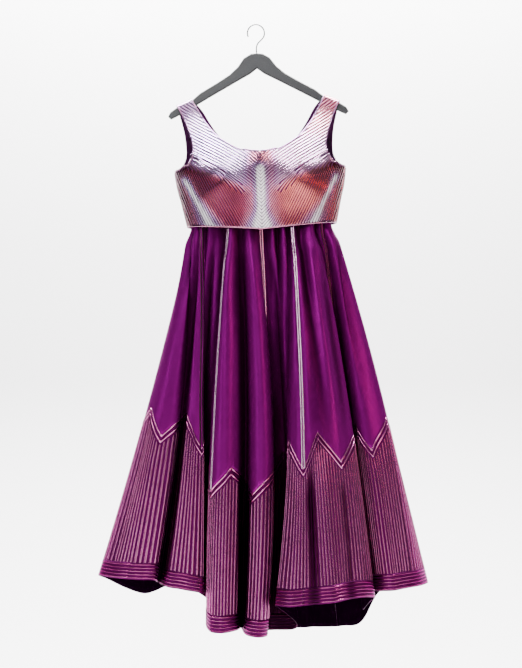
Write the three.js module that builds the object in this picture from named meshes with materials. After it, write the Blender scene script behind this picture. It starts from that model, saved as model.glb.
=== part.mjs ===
// A bridal lehenga on a plain hanger: a sleeveless choli over a skirt of ten flared gores.
// Millimetres, +Z up, the front faces -Y. The origin is where the hook hangs on its rail.
// Left and right are as seen from the front.
import * as THREE from 'three';

// ---- Driving sizes -------------------------------------------------------------------

const GORES = 10;               // flared panels round the skirt
const SATIN = 1.6;              // skirt wall: satin, net and lining in one
const CHOLI_WALL = 1.4;         // foil cloth with its padding
const LINING_WALL = 0.8;
const BAND_WALL = 2.4;          // folded waistband
const LAID_ON = 0.8;            // thickness of tape and hem band
const SEAM = 0.3;               // air left between pieces that are sewn together
const TILT = THREE.MathUtils.degToRad(1.8);   // the hanger hangs a little down on the left

const WAIST = { halfWidth: 150, front: 66, back: 58, x: 10, y: -6, z: -388, sag: 48, band: 30 };
const GATHER = { perGore: 2, height: 6, deepest: 0.07, ends: 0.36 };
const SQUEEZE = { keeps: 0.5, from: 0.085, to: 0.135 };   // where the choli's hem holds the skirt in
const ZIGZAG = { teethPerGore: 2, valley: 318, peak: 384 };   // border heights above the hem
const HEM_BAND_HEIGHT = 38;
const TAPE_WIDTH = 9;

// How the skirt's edge hangs. turn counts gores round from the centre back, by the left
// side (2.5), the centre front (5) and the right side (7.5); a row for each crest and trough.
const HEM = table(['turn', 'x', 'y', 'z'], [
  [0.30, 7, 125, -1415],
  [0.55, -48, 100, -1395],
  [0.80, -98, 120, -1360],
  [1.05, -153, 115, -1330],
  [1.25, -198, 90, -1315],
  [1.45, -243, 85, -1330],
  [1.60, -268, 110, -1340],
  [1.80, -313, 105, -1325],
  [2.00, -353, 60, -1295],
  [2.12, -366, 10, -1278],
  [2.30, -328, -50, -1272],
  [2.50, -266, -75, -1272],
  [2.63, -230, -62, -1277],
  [2.67, -224, -38, -1285],
  [2.73, -210, -60, -1287],
  [2.90, -163, -85, -1293],
  [3.05, -119, -78, -1303],
  [3.20, -126, -30, -1308],
  [3.40, -133, 20, -1320],
  [3.60, -110, 10, -1335],
  [3.80, -102, -50, -1350],
  [3.95, -110, -108, -1368],
  [4.08, -96, -148, -1373],
  [4.22, -68, -158, -1374],
  [4.36, -39, -120, -1375],
  [4.42, -32, -88, -1378],
  [4.47, -25, -122, -1382],
  [4.58, -2, -160, -1382],
  [4.70, 25, -132, -1386],
  [4.82, 22, -88, -1386],
  [5.05, 37, -60, -1389],
  [5.30, 90, -48, -1389],
  [5.50, 90, -80, -1365],
  [5.68, 52, -125, -1325],
  [5.76, 44, -150, -1315],
  [5.88, 70, -183, -1310],
  [6.00, 103, -200, -1305],
  [6.25, 162, -205, -1298],
  [6.50, 215, -180, -1294],
  [6.65, 248, -142, -1298],
  [6.78, 267, -98, -1309],
  [6.86, 259, -72, -1322],
  [6.94, 250, -42, -1342],
  [7.03, 249, -10, -1352],
  [7.12, 261, -14, -1332],
  [7.22, 268, -48, -1306],
  [7.36, 281, -90, -1295],
  [7.52, 307, -103, -1291],
  [7.70, 350, -75, -1290],
  [7.86, 384, -28, -1293],
  [7.98, 402, 20, -1296],
  [8.14, 382, 75, -1303],
  [8.34, 332, 105, -1315],
  [8.52, 290, 85, -1335],
  [8.70, 254, 70, -1395],
  [8.95, 207, 85, -1412],
  [9.20, 152, 100, -1418],
  [9.50, 112, 80, -1415],
  [9.78, 62, 105, -1420],
]);

// How far the cloth swings to the right of a straight fall, halfway down, and how much
// taller or shorter the border hangs there.
const SWING = table(['turn', 'x', 'border'], [
  [0.5, 0, 1.00],
  [2.1, 9, 1.03],
  [2.5, 7, 1.03],
  [2.75, 18, 1.02],
  [3.0, 3, 1.02],
  [4.0, -10, 0.96],
  [4.25, 0, 0.94],
  [4.5, 14, 0.965],
  [4.75, 30, 0.98],
  [5.0, 8, 1.02],
  [5.25, 4, 1.06],
  [5.5, 2, 1.00],
  [5.76, 24, 0.95],
  [6.0, 12, 0.93],
  [6.25, 3, 0.965],
  [6.5, 11, 0.945],
  [7.0, 8, 0.97],
  [7.5, 9, 1.00],
  [7.75, 26, 1.02],
  [8.0, 8, 1.02],
  [9.0, 0, 1.00],
]);

// The choli's half outlines, from its own centre line; the left half mirrors the right.
// closer: how much closer the columns stand towards the side seams than at the centre.
const CHOLI = { hem: -480, neck: -305, backNeck: -293, strapBend: 11, oval: 2.3, closer: 1.3 };
const SIDE = table(['x', 'z'], [[172, -465], [176, -447], [184, -410], [193, -373], [198, -338]]);
const SHOULDER = { inner: { x: 154, z: -165 }, outer: { x: 190, z: -180.5 } };
const NECKLINE = table(['x', 'z'], [
  [0, -305], [22, -304], [48, -297], [73, -282], [98, -260], [120, -230], [137, -199], [154, -165],
]);
const BACK_NECKLINE = table(['x', 'z'], [
  [0, -293], [22, -292], [46, -285], [70, -270], [93, -248], [114, -219], [131, -191], [154, -165],
]);
const ARMHOLE = table(['x', 'z'], [
  [198, -338], [180, -335], [165, -327], [155, -312], [152, -292], [157, -265], [167, -232],
  [178, -205], [190, -180.5],
]);
const BACK_ARMHOLE = table(['x', 'z'], [
  [198, -338], [190, -328], [179, -312], [173, -295], [172, -275], [175, -240], [182, -208],
  [190, -180.5],
]);
// The oval body under the choli: half width, and depth of the front and of the back.
const BODY = table(['z', 'width', 'front', 'back'], [
  [-480, 172, 84, 76], [-430, 182, 92, 78], [-380, 193, 98, 80], [-338, 200, 97, 80],
  [-300, 205, 88, 74], [-250, 209, 62, 54], [-205, 214, 26, 24], [-165, 220, 6, 6],
]);
const CUP = { x: 87, z: -372, height: 44, across: 62, above: 84, below: 52 };

// The hanger's arms, half outline from the middle, and the hook.
const ARM_TOP = table(['x', 'z'], [
  [0, -64], [14, -65.5], [30, -75], [44, -94], [64, -112], [96, -131.5], [133, -152.4],
  [154, -170], [190, -185.5], [204, -195],
]);
const ARM_FOOT = table(['x', 'z'], [
  [210, -206], [203, -213], [190, -207], [154, -188], [119, -168.5], [51, -131.5], [16, -113], [0, -101],
]);
const ARM = { thickness: 9, round: 4 };
const HOOK = { wire: 3.6, inner: 18, quarterSides: 4, steps: 30, foot: -63.7 };
// The skirt's hanging loops: ribbon, sewn inside the band turn gores from the centre back.
const LOOP = {
  width: 10, thickness: 1, turn: 1.85, apart: 0.1, arm: 161, sewn: 24, clear: 0.5, curve: 0.4,
  sides: 3, turns: 6,
};
// The shares of the strap's length at which its rows lie, close where it bends over the arm.
const STRAP_ROWS = [0, 0.006, 0.02, 0.045, 0.09, 0.22, 0.37, 0.52, 0.68, 0.84, 1];

const MESH = { goreSteps: 12, goreRows: 7, borderRows: 4, choliColumns: 7, bodyRows: 7, bandSteps: 24 };
const TEETH_DOWN = 0.64;        // about how far down the skirt the zigzag lies
const MITER_LIMIT = 1.5;        // how far a wall's corner may stretch in a sharp fold

// ---- Materials -----------------------------------------------------------------------

const satin = new THREE.MeshStandardMaterial({ color: 0x74026a, roughness: 0.42, metalness: 0 });
const foilCloth = new THREE.MeshStandardMaterial({ color: 0xc98aa8, roughness: 0.35, metalness: 0.7 });
const foilBorder = new THREE.MeshStandardMaterial({ color: 0x96487e, roughness: 0.38, metalness: 0.55 });
const foilTape = new THREE.MeshStandardMaterial({ color: 0xd9a2b4, roughness: 0.3, metalness: 0.85 });
const liningCloth = new THREE.MeshStandardMaterial({ color: 0x5c0a58, roughness: 0.6, metalness: 0 });
const hangerPlastic = new THREE.MeshStandardMaterial({ color: 0x8d8d90, roughness: 0.45, metalness: 0 });
const steel = new THREE.MeshStandardMaterial({ color: 0xc4c4c8, roughness: 0.25, metalness: 1 });

// ---- Helpers -------------------------------------------------------------------------

function table(columns, rows) {
  return rows.map((row) => Object.fromEntries(columns.map((name, i) => [name, row[i]])));
}

function mix(a, b, t) {
  return a + (b - a) * t;
}

function smoothstep(from, to, t) {
  const k = THREE.MathUtils.clamp((t - from) / (to - from), 0, 1);
  return k * k * (3 - 2 * k);
}

// A smooth curve through the rows of a table, read along the named key.
// With a period the curve closes on itself.
function curveThrough(rows, key, period = 0) {
  const names = Object.keys(rows[0]).filter((name) => name !== key);
  const count = rows.length;
  const row = (i) => {
    if (!period) return rows[THREE.MathUtils.clamp(i, 0, count - 1)];
    const lap = Math.floor(i / count);
    const own = rows[i - lap * count];
    return { ...own, [key]: own[key] + lap * period };
  };
  const slope = (i, name) => {
    const [before, here, after] = [row(i - 1), row(i), row(i + 1)];
    const back = here[key] - before[key];
    const ahead = after[key] - here[key];
    if (back === 0) return (after[name] - here[name]) / ahead;
    if (ahead === 0) return (here[name] - before[name]) / back;
    const [slopeBack, slopeAhead] = [(here[name] - before[name]) / back, (after[name] - here[name]) / ahead];
    return (slopeBack * ahead + slopeAhead * back) / (back + ahead);
  };
  return (at) => {
    let t = at;
    if (period) t = rows[0][key] + THREE.MathUtils.euclideanModulo(at - rows[0][key], period);
    let i = rows.findIndex((r) => r[key] > t) - 1;
    if (i < 0) i = period ? count - 1 : (t < rows[0][key] ? 0 : count - 2);
    const [a, b] = [row(i), row(i + 1)];
    const span = b[key] - a[key];
    const k = (t - a[key]) / span;
    const value = {};
    for (const name of names) {
      const [h0, h1] = [2 * k ** 3 - 3 * k ** 2 + 1, k ** 3 - 2 * k ** 2 + k];
      const [h2, h3] = [3 * k ** 2 - 2 * k ** 3, k ** 3 - k ** 2];
      value[name] = h0 * a[name] + h1 * span * slope(i, name) + h2 * b[name] + h3 * span * slope(i + 1, name);
    }
    return value;
  };
}

// The same for an outline whose rows are evenly spread from 0 to 1.
function outlineThrough(rows) {
  const spread = rows.map((row, i) => ({ along: i / (rows.length - 1), ...row }));
  return curveThrough(spread, 'along');
}

// The outward normal of a surface whose first direction runs anticlockwise, seen from
// above, and whose second runs down.
function normalOf(surface, a, b) {
  const step = 0.004;
  const along = surface(a + step, b).sub(surface(a - step, b));
  const down = surface(a, b + step).sub(surface(a, b - step));
  return down.cross(along).normalize();
}

// A closed wall of cloth. place(i, j, depth) gives the point in column i and row j,
// depth below the outer face; the columns run anticlockwise and the rows run down.
function wall(columns, rows, outerDepth, innerDepth, place) {
  const positions = [];
  const index = [];
  for (const depth of [outerDepth, innerDepth]) {
    for (let j = 0; j <= rows; j++) {
      for (let i = 0; i <= columns; i++) positions.push(...place(i, j, depth).toArray());
    }
  }
  const layer = (columns + 1) * (rows + 1);
  const outer = (i, j) => j * (columns + 1) + i;
  const inner = (i, j) => layer + outer(i, j);
  const quad = (a, b, c, d) => index.push(a, d, c, a, c, b);
  for (let j = 0; j < rows; j++) {
    for (let i = 0; i < columns; i++) {
      const corners = [[i, j], [i + 1, j], [i + 1, j + 1], [i, j + 1]];
      const [a, b, c, d] = corners.map(([p, q]) => outer(p, q));
      quad(a, b, c, d);
      const [e, f, g, h] = corners.map(([p, q]) => inner(p, q));
      index.push(e, g, h, e, f, g);
    }
  }
  for (let i = 0; i < columns; i++) {
    quad(inner(i + 1, 0), outer(i + 1, 0), outer(i, 0), inner(i, 0));
    quad(outer(i, rows), outer(i + 1, rows), inner(i + 1, rows), inner(i, rows));
  }
  for (let j = 0; j < rows; j++) {
    quad(inner(0, j), outer(0, j), outer(0, j + 1), inner(0, j + 1));
    quad(inner(columns, j), inner(columns, j + 1), outer(columns, j + 1), outer(columns, j));
  }
  const geometry = new THREE.BufferGeometry();
  geometry.setAttribute('position', new THREE.Float32BufferAttribute(positions, 3));
  geometry.setIndex(index);
  geometry.computeVertexNormals();
  return geometry;
}

function piece(name, geometry, material) {
  const mesh = new THREE.Mesh(geometry, material);
  mesh.name = name;
  return mesh;
}

// ---- Skirt ---------------------------------------------------------------------------

const hemAt = curveThrough(HEM, 'turn', GORES);
const swingAt = curveThrough(SWING, 'turn', GORES);

// Angles round the waist oval that share its length evenly between the gores.
const waistAngle = (() => {
  const parts = 720;
  const lengths = [0];
  const at = (i) => ovalPoint((i / parts) * 2 * Math.PI);
  for (let i = 1; i <= parts; i++) lengths.push(lengths[i - 1] + at(i).distanceTo(at(i - 1)));
  return (turn) => {
    const share = THREE.MathUtils.euclideanModulo(turn, GORES) / GORES;
    const wanted = share * lengths[parts];
    const i = Math.min(lengths.findIndex((length) => length > wanted), parts) || 1;
    const k = (wanted - lengths[i - 1]) / (lengths[i] - lengths[i - 1]);
    return ((i - 1 + k) / parts) * 2 * Math.PI;
  };
})();

function ovalPoint(angle) {
  const depth = Math.cos(angle) > 0 ? WAIST.back : WAIST.front;
  return new THREE.Vector2(-WAIST.halfWidth * Math.sin(angle), depth * Math.cos(angle));
}

function waistPoint(turn) {
  const flat = ovalPoint(waistAngle(turn));
  const sag = WAIST.sag * (1 - (flat.x / WAIST.halfWidth) ** 2);
  return new THREE.Vector3(WAIST.x + flat.x, WAIST.y + flat.y, WAIST.z - sag + TILT * flat.x);
}

function waistOut(turn) {
  const angle = waistAngle(turn);
  const depth = Math.cos(angle) > 0 ? WAIST.back : WAIST.front;
  return new THREE.Vector3(-depth * Math.sin(angle), WAIST.halfWidth * Math.cos(angle), 0).normalize();
}

// Small soft gathers below the band, uneven round the waist.
function gatherHeight(turn, down) {
  const uneven = 0.32 * Math.sin((2 * Math.PI * 3 * turn) / GORES + 1.2)
    + 0.22 * Math.sin((2 * Math.PI * 7 * turn) / GORES + 0.4);
  const wave = Math.sin(2 * Math.PI * (GATHER.perGore * turn + uneven));
  const swell = smoothstep(0, GATHER.deepest, down);
  const fade = 1 - smoothstep(GATHER.deepest, GATHER.ends, down);
  return GATHER.height * wave * swell * fade;
}

// The skirt's cloth: turn gores round, down from 0 at the band to 1 at the edge.
function skirtPoint(turn, down) {
  const top = waistPoint(turn);
  const foot = hemAt(turn);
  const held = 1 - SQUEEZE.keeps * (1 - smoothstep(SQUEEZE.from, SQUEEZE.to, down));
  const out = down * held;
  const swing = swingAt(turn).x * 4 * down * (1 - down);
  const point = new THREE.Vector3(
    mix(top.x, foot.x, out) + swing,
    mix(top.y, foot.y, out),
    mix(top.z, foot.z, down),
  );
  return point.addScaledVector(waistOut(turn), gatherHeight(turn, down));
}

function skirtLength(turn) {
  const foot = hemAt(turn);
  return waistPoint(turn).distanceTo(new THREE.Vector3(foot.x, foot.y, foot.z));
}

// Where the border's zigzag top edge crosses: valleys on the seams and mid gore.
function zigzagHeight(turn) {
  const tooth = THREE.MathUtils.euclideanModulo(turn * ZIGZAG.teethPerGore, 1);
  return mix(ZIGZAG.valley, ZIGZAG.peak, 1 - Math.abs(2 * tooth - 1)) * swingAt(turn).border;
}

function downFromHem(turn, height) {
  return 1 - height / skirtLength(turn);
}

// How far the cloth runs round the skirt in one gore, at this height.
function turnWidth(turn, down) {
  return skirtPoint(turn - 0.06, down).distanceTo(skirtPoint(turn + 0.06, down)) / 0.12;
}

// Where a gore's columns lie: on its seams, at the edges of the tapes over them, and at
// even steps between. The columns just past a seam belong to the next gore.
const GORE_COLUMNS = MESH.goreSteps + 2;

function columnTurn(gore, i, down) {
  const seam = i <= 1 ? gore : gore + 1;
  const edge = Math.min(TAPE_WIDTH / 2 / turnWidth(seam, down), 0.7 / MESH.goreSteps);
  if (i < 0) return seam - edge;
  if (i === 0 || i === GORE_COLUMNS) return seam;
  if (i === 1 || i > GORE_COLUMNS) return seam + edge;
  if (i === GORE_COLUMNS - 1) return seam - edge;
  return gore + (i - 1) / MESH.goreSteps;
}

// A point of a gore's cloth, depth below its outer face and apart sideways from it.
function clothPoint(gore, i, down, depth, apart = 0) {
  const turns = [i - 1, i, i + 1].map((k) => columnTurn(gore, k, down));
  const [before, here, after] = turns.map((turn) => skirtPoint(turn, down));
  const along = after.sub(here).normalize().add(here.clone().sub(before).normalize());
  const miter = Math.min(2 / along.length(), MITER_LIMIT);
  along.normalize();
  const fall = skirtPoint(turns[1], down + 0.004).sub(skirtPoint(turns[1], down - 0.004));
  const normal = fall.cross(along).normalize();
  return here.addScaledVector(normal, -depth * miter).addScaledVector(along, apart);
}

function seamGap(i) {
  if (i === 0) return SEAM / 2;
  return i === GORE_COLUMNS ? -SEAM / 2 : 0;
}

// The heights of a gore's rows, close together in the gathers below the band.
function goreDown(turn, j) {
  const top = (SEAM * 2) / skirtLength(turn);
  const foot = downFromHem(turn, zigzagHeight(turn) + SEAM);
  return mix(top, foot, (j / MESH.goreRows) ** 1.25);
}

// The heights of a border's rows; the last row lies under the hem band.
function borderDown(turn, j) {
  if (j === MESH.borderRows) return 1;
  const top = downFromHem(turn, zigzagHeight(turn) - SEAM);
  return mix(top, downFromHem(turn, HEM_BAND_HEIGHT), j / (MESH.borderRows - 1));
}

function goreGeometry(gore) {
  return wall(GORE_COLUMNS, MESH.goreRows, 0, SATIN, (i, j, depth) => {
    const down = goreDown(columnTurn(gore, i, TEETH_DOWN), j);
    return clothPoint(gore, i, down, depth, seamGap(i));
  });
}

function borderGeometry(gore) {
  return wall(GORE_COLUMNS, MESH.borderRows, 0, SATIN, (i, j, depth) => {
    const down = borderDown(columnTurn(gore, i, TEETH_DOWN), j);
    return clothPoint(gore, i, down, depth, seamGap(i));
  });
}

function hemBandGeometry(gore) {
  return wall(GORE_COLUMNS, 1, -SEAM - LAID_ON, -SEAM, (i, j, depth) => {
    const down = borderDown(columnTurn(gore, i, TEETH_DOWN), MESH.borderRows - 1 + j);
    return clothPoint(gore, i, down, depth, seamGap(i));
  });
}

// The doubled foil tape over a seam, from the band down to the border.
function tapeGeometry(gore) {
  return wall(2, MESH.goreRows, -SEAM - LAID_ON, -SEAM, (i, j, depth) => {
    const [owner, column] = i === 0 ? [gore - 1, GORE_COLUMNS - 1] : [gore, i - 1];
    const down = goreDown(columnTurn(owner, column, TEETH_DOWN), j);
    return clothPoint(owner, column, down, depth);
  });
}

function waistbandPoint(turn, height, depth) {
  const out = waistOut(turn);
  return waistPoint(turn).addScaledVector(out, -depth).setZ(waistPoint(turn).z + height);
}

// The band is cut in two halves, front and back, that meet at the sides.
function waistbandGeometry(fromTurn, toTurn) {
  const seam = SEAM / 2 / turnWidth(fromTurn, 0);
  return wall(MESH.bandSteps, 1, 0, BAND_WALL, (i, j, depth) => {
    const turn = mix(fromTurn + seam, toTurn - seam, i / MESH.bandSteps);
    return waistbandPoint(turn, WAIST.band * (1 - j), depth);
  });
}

const skirt = new THREE.Group();
for (let gore = 0; gore < GORES; gore++) {
  const number = String(gore + 1).padStart(2, '0');
  skirt.add(piece(`skirt_gore_${number}`, goreGeometry(gore), satin));
  skirt.add(piece(`border_${number}`, borderGeometry(gore), foilBorder));
  skirt.add(piece(`hem_band_${number}`, hemBandGeometry(gore), foilBorder));
  skirt.add(piece(`seam_tape_${number}`, tapeGeometry(gore), foilTape));
}
skirt.add(piece('waistband_front', waistbandGeometry(2.5, 7.5), satin));
skirt.add(piece('waistband_back', waistbandGeometry(7.5, 12.5), satin));

// ---- Choli ---------------------------------------------------------------------------

const bodyAt = curveThrough(BODY, 'z');

function cupHeight(x, z) {
  const up = z - CUP.z;
  const reach = ((x - CUP.x) / CUP.across) ** 2 + (up / (up > 0 ? CUP.above : CUP.below)) ** 2;
  return CUP.height * Math.exp(-reach);
}

// The body's half width. Below the armhole it is the side seam's own line, so that the
// front and the back meet there.
const sideLine = Array.from({ length: 65 }, (_, k) => outlineThrough(SIDE)(k / 64));
function bodyWidth(z) {
  const top = sideLine[sideLine.length - 1];
  if (z >= top.z) return mix(top.x, bodyAt(z).width, smoothstep(top.z, CHOLI.neck, z));
  const above = Math.max(sideLine.findIndex((place) => place.z >= z), 1);
  const [low, high] = [sideLine[above - 1], sideLine[above]];
  return mix(low.x, high.x, (z - low.z) / (high.z - low.z));
}

// How far the choli stands in front of (or behind) the plane of the side seams.
function choliDepth(x, z, toShoulder, isFront) {
  const body = bodyAt(z);
  const share = Math.min(Math.abs(x) / bodyWidth(z), 0.9999);
  const oval = (1 - share ** CHOLI.oval) ** (1 / CHOLI.oval);
  const chest = (isFront ? body.front : body.back) * oval + (isFront ? cupHeight(x, z) : 0);
  const bend = CHOLI.strapBend;
  const over = Math.sqrt(1 - (1 - Math.min(toShoulder / bend, 1)) ** 2);
  return over * Math.hypot(chest, bend * smoothstep(-260, -200, z));
}

// Both halves of the front or back share this shape. across runs from the centre line or
// neckline (0) to the side seam or armhole (1), down from the shoulder (0) to the hem (1).
function choliSurface(isFront) {
  const neckline = outlineThrough(isFront ? NECKLINE : BACK_NECKLINE);
  const armhole = outlineThrough(isFront ? ARMHOLE : BACK_ARMHOLE);
  const side = outlineThrough(SIDE);
  const neckBottom = isFront ? CHOLI.neck : CHOLI.backNeck;
  const strapRows = STRAP_ROWS.length - 1;
  const split = strapRows / (strapRows + MESH.bodyRows);
  return (across, down) => {
    let inner;
    let outer;
    if (down < split) {
      const up = 1 - strapShare((down / split) * strapRows);
      inner = neckline(up);
      outer = armhole(up);
    } else {
      const low = (down - split) / (1 - split);
      inner = { x: 0, z: mix(neckBottom, CHOLI.hem, low) };
      outer = side(1 - low);
    }
    const x = mix(inner.x, outer.x, across);
    const z = mix(inner.z, outer.z, across);
    const shoulderZ = mix(SHOULDER.inner.z, SHOULDER.outer.z, (x - SHOULDER.inner.x) / 36);
    const depth = choliDepth(x, z, Math.max(shoulderZ - z, 0), isFront);
    return new THREE.Vector3(x, isFront ? -depth : depth, z);
  };
}

function strapShare(row) {
  const i = THREE.MathUtils.clamp(Math.floor(row), 0, STRAP_ROWS.length - 2);
  return mix(STRAP_ROWS[i], STRAP_ROWS[i + 1], row - i);
}

function choliPanel(isFront, isRight, outerDepth, innerDepth) {
  const surface = choliSurface(isFront);
  const { choliColumns: columns, bodyRows } = MESH;
  const strapRows = STRAP_ROWS.length - 1;
  const rows = bodyRows + strapRows;
  const split = strapRows / rows;
  const towards = isRight === isFront ? 1 : -1;
  const half = SEAM / 2;
  return wall(columns, rows, outerDepth, innerDepth, (i, j, depth) => {
    const share = towards > 0 ? i / columns : 1 - i / columns;
    const across = 1 - (1 - share) ** CHOLI.closer;
    const down = j / rows;
    const a = THREE.MathUtils.clamp(across, 0.002, 0.998);
    const b = THREE.MathUtils.clamp(down, 0.004, 0.998);
    const normal = normalOf(surface, a, b);
    if ((normal.y > 0) === isFront) normal.negate();
    if (j === 0) normal.set(0, 0, 1);
    if (across === 1 && down >= split) normal.set(1, 0, 0);
    if (across === 0 && down >= split) normal.set(0, isFront ? -1 : 1, 0);
    const point = surface(across, down).addScaledVector(normal, -depth);
    if (across === 0 && down >= split) point.x = Math.max(point.x, half);
    if (across === 1 && down >= split) point.y = isFront ? -half : half;
    if (j === 0) point.y = isFront ? -half : half;
    if (!isRight) point.x = -point.x;
    return point;
  });
}

const choli = new THREE.Group();
for (const [end, isFront] of [['front', true], ['back', false]]) {
  for (const [hand, isRight] of [['left', false], ['right', true]]) {
    const outer = choliPanel(isFront, isRight, 0, CHOLI_WALL);
    choli.add(piece(`choli_${end}_${hand}`, outer, foilCloth));
    const under = CHOLI_WALL + SEAM;
    const inner = choliPanel(isFront, isRight, under, under + LINING_WALL);
    choli.add(piece(`choli_lining_${end}_${hand}`, inner, liningCloth));
  }
}

// ---- Hanger --------------------------------------------------------------------------

function hangerGeometry() {
  const { thickness, round } = ARM;
  const half = [...ARM_TOP, ...ARM_FOOT];
  const mirrored = half.filter((p) => p.x > 0).reverse().map((p) => ({ x: -p.x, z: p.z }));
  const outline = new THREE.Shape([...half, ...mirrored].map((p) => new THREE.Vector2(p.x, p.z)));
  const geometry = new THREE.ExtrudeGeometry(outline, {
    depth: thickness - 2 * round, bevelEnabled: true, bevelThickness: round, bevelSize: round,
    bevelOffset: -round, bevelSegments: 3, curveSegments: 1,
  });
  geometry.translate(0, 0, -(thickness - 2 * round) / 2);
  geometry.rotateX(Math.PI / 2);
  return geometry;
}

function hookGeometry() {
  const bend = HOOK.inner + HOOK.wire / 2;
  const points = [new THREE.Vector3(0, 0, HOOK.foot), new THREE.Vector3(0, 0, -52), new THREE.Vector3(3, 0, -43)];
  for (let degrees = -35; degrees <= 205; degrees += 20) {
    const angle = THREE.MathUtils.degToRad(degrees);
    points.push(new THREE.Vector3(bend * Math.cos(angle), 0, -HOOK.inner + bend * Math.sin(angle)));
  }
  const section = new THREE.Shape();
  section.absarc(0, 0, HOOK.wire / 2, 0, 2 * Math.PI);
  return new THREE.ExtrudeGeometry(section, {
    steps: HOOK.steps, curveSegments: HOOK.quarterSides, bevelEnabled: false,
    extrudePath: new THREE.CatmullRomCurve3(points, false, 'centripetal'),
  });
}

const hanger = new THREE.Group();
hanger.add(piece('hanger_body', hangerGeometry(), hangerPlastic));
hanger.add(piece('hanger_hook', hookGeometry(), steel));

// ---- Hanging loops -------------------------------------------------------------------

// A flat ribbon along a path. Each stop has its point and the direction of its width.
function ribbonGeometry(stops) {
  const positions = [];
  stops.forEach(({ point, across }, i) => {
    const before = stops[Math.max(i - 1, 0)].point;
    const after = stops[Math.min(i + 1, stops.length - 1)].point;
    const tangent = after.clone().sub(before).normalize();
    const flat = tangent.clone().cross(across).normalize();
    const wide = flat.clone().cross(tangent);
    for (const [w, t] of [[-1, -1], [1, -1], [1, 1], [-1, 1]]) {
      const corner = point.clone().addScaledVector(wide, (w * LOOP.width) / 2);
      positions.push(...corner.addScaledVector(flat, (t * LOOP.thickness) / 2).toArray());
    }
  });
  const index = [0, 2, 1, 0, 3, 2];
  for (let i = 0; i < stops.length - 1; i++) {
    for (let k = 0; k < 4; k++) {
      const [a, b] = [4 * i + k, 4 * i + ((k + 1) % 4)];
      index.push(a, b + 4, a + 4, a, b, b + 4);
    }
  }
  const end = 4 * (stops.length - 1);
  index.push(end, end + 1, end + 2, end, end + 2, end + 3);
  const geometry = new THREE.BufferGeometry();
  geometry.setAttribute('position', new THREE.Float32BufferAttribute(positions, 3));
  geometry.setIndex(index);
  geometry.computeVertexNormals();
  return geometry;
}

// One loop: up from the band, over the hanger's arm inside the strap, and down again.
function loopGeometry(hand) {
  const [inner, outer] = ARM_TOP.slice(-3, -1);
  const slope = (outer.z - inner.z) / (outer.x - inner.x);
  const top = inner.z + slope * (LOOP.arm - inner.x);
  const along = new THREE.Vector3(1, 0, hand * slope).normalize();
  const lean = (vector) => vector.applyAxisAngle(new THREE.Vector3(0, 1, 0), -TILT);
  const clear = LOOP.clear + LOOP.thickness / 2;
  const armStop = (y, z) => ({ point: lean(new THREE.Vector3(hand * LOOP.arm, y, z)), across: lean(along.clone()) });
  const bandStops = (side) => {
    const turn = hand < 0 ? LOOP.turn - side * LOOP.apart : GORES - LOOP.turn + side * LOOP.apart;
    const across = waistOut(turn).cross(new THREE.Vector3(0, 0, 1));
    const low = WAIST.band - LOOP.sewn;
    return [low, WAIST.band + 4].map((height) => ({
      point: waistbandPoint(turn, height, BAND_WALL + clear + LOOP.curve),
      across: across.x < 0 ? across.clone().negate() : across,
    }));
  };
  const flat = ARM.thickness / 2 - ARM.round;
  const radius = ARM.round + clear;
  // One side of the loop, from the band up to the arm, turning gently as it goes.
  const strand = (side) => {
    const [low, high] = bandStops(side);
    const upper = armStop(side * (flat + radius), top - ARM.round - 18);
    const between = [];
    for (let i = 0; i <= LOOP.turns; i++) {
      between.push({
        point: high.point.clone().lerp(upper.point, i / LOOP.turns),
        across: high.across.clone().lerp(upper.across, i / LOOP.turns),
      });
    }
    return [low, ...between];
  };
  const stops = strand(-1);
  for (const side of [-1, 1]) {
    for (let i = 0; i <= LOOP.sides; i++) {
      const angle = side < 0 ? (i / LOOP.sides) * (Math.PI / 2) : (1 - i / LOOP.sides) * (Math.PI / 2);
      const y = side * (flat + radius * Math.cos(angle));
      stops.push(armStop(y, top + SEAM / 2 - ARM.round + radius * Math.sin(angle)));
    }
  }
  stops.push(...strand(1).reverse());
  return ribbonGeometry(stops);
}

skirt.add(piece('skirt_loop_left', loopGeometry(-1), satin));
skirt.add(piece('skirt_loop_right', loopGeometry(1), satin));

// ---- The whole ------------------------------------------------------------------------

const hung = new THREE.Group();
hung.rotation.y = -TILT;
hung.add(hanger, choli);

const lehenga = new THREE.Group();
lehenga.add(hung, skirt);

export default lehenga;
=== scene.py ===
# %% [markdown]
# # A bridal lehenga on its hanger
#
# A lehenga is a two-piece wedding dress: a short fitted blouse, the choli, and a long
# flared skirt. This one is magenta satin. Narrow strips of rose foil cover the choli and
# the skirt's border, whose top edge is a zigzag with a doubled line of foil.
# The plain solids of every piece come from the frame. Here each cloth is made again on
# the same surface, only finer, and the foil, tapes and creases are laid on it.

import math

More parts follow.
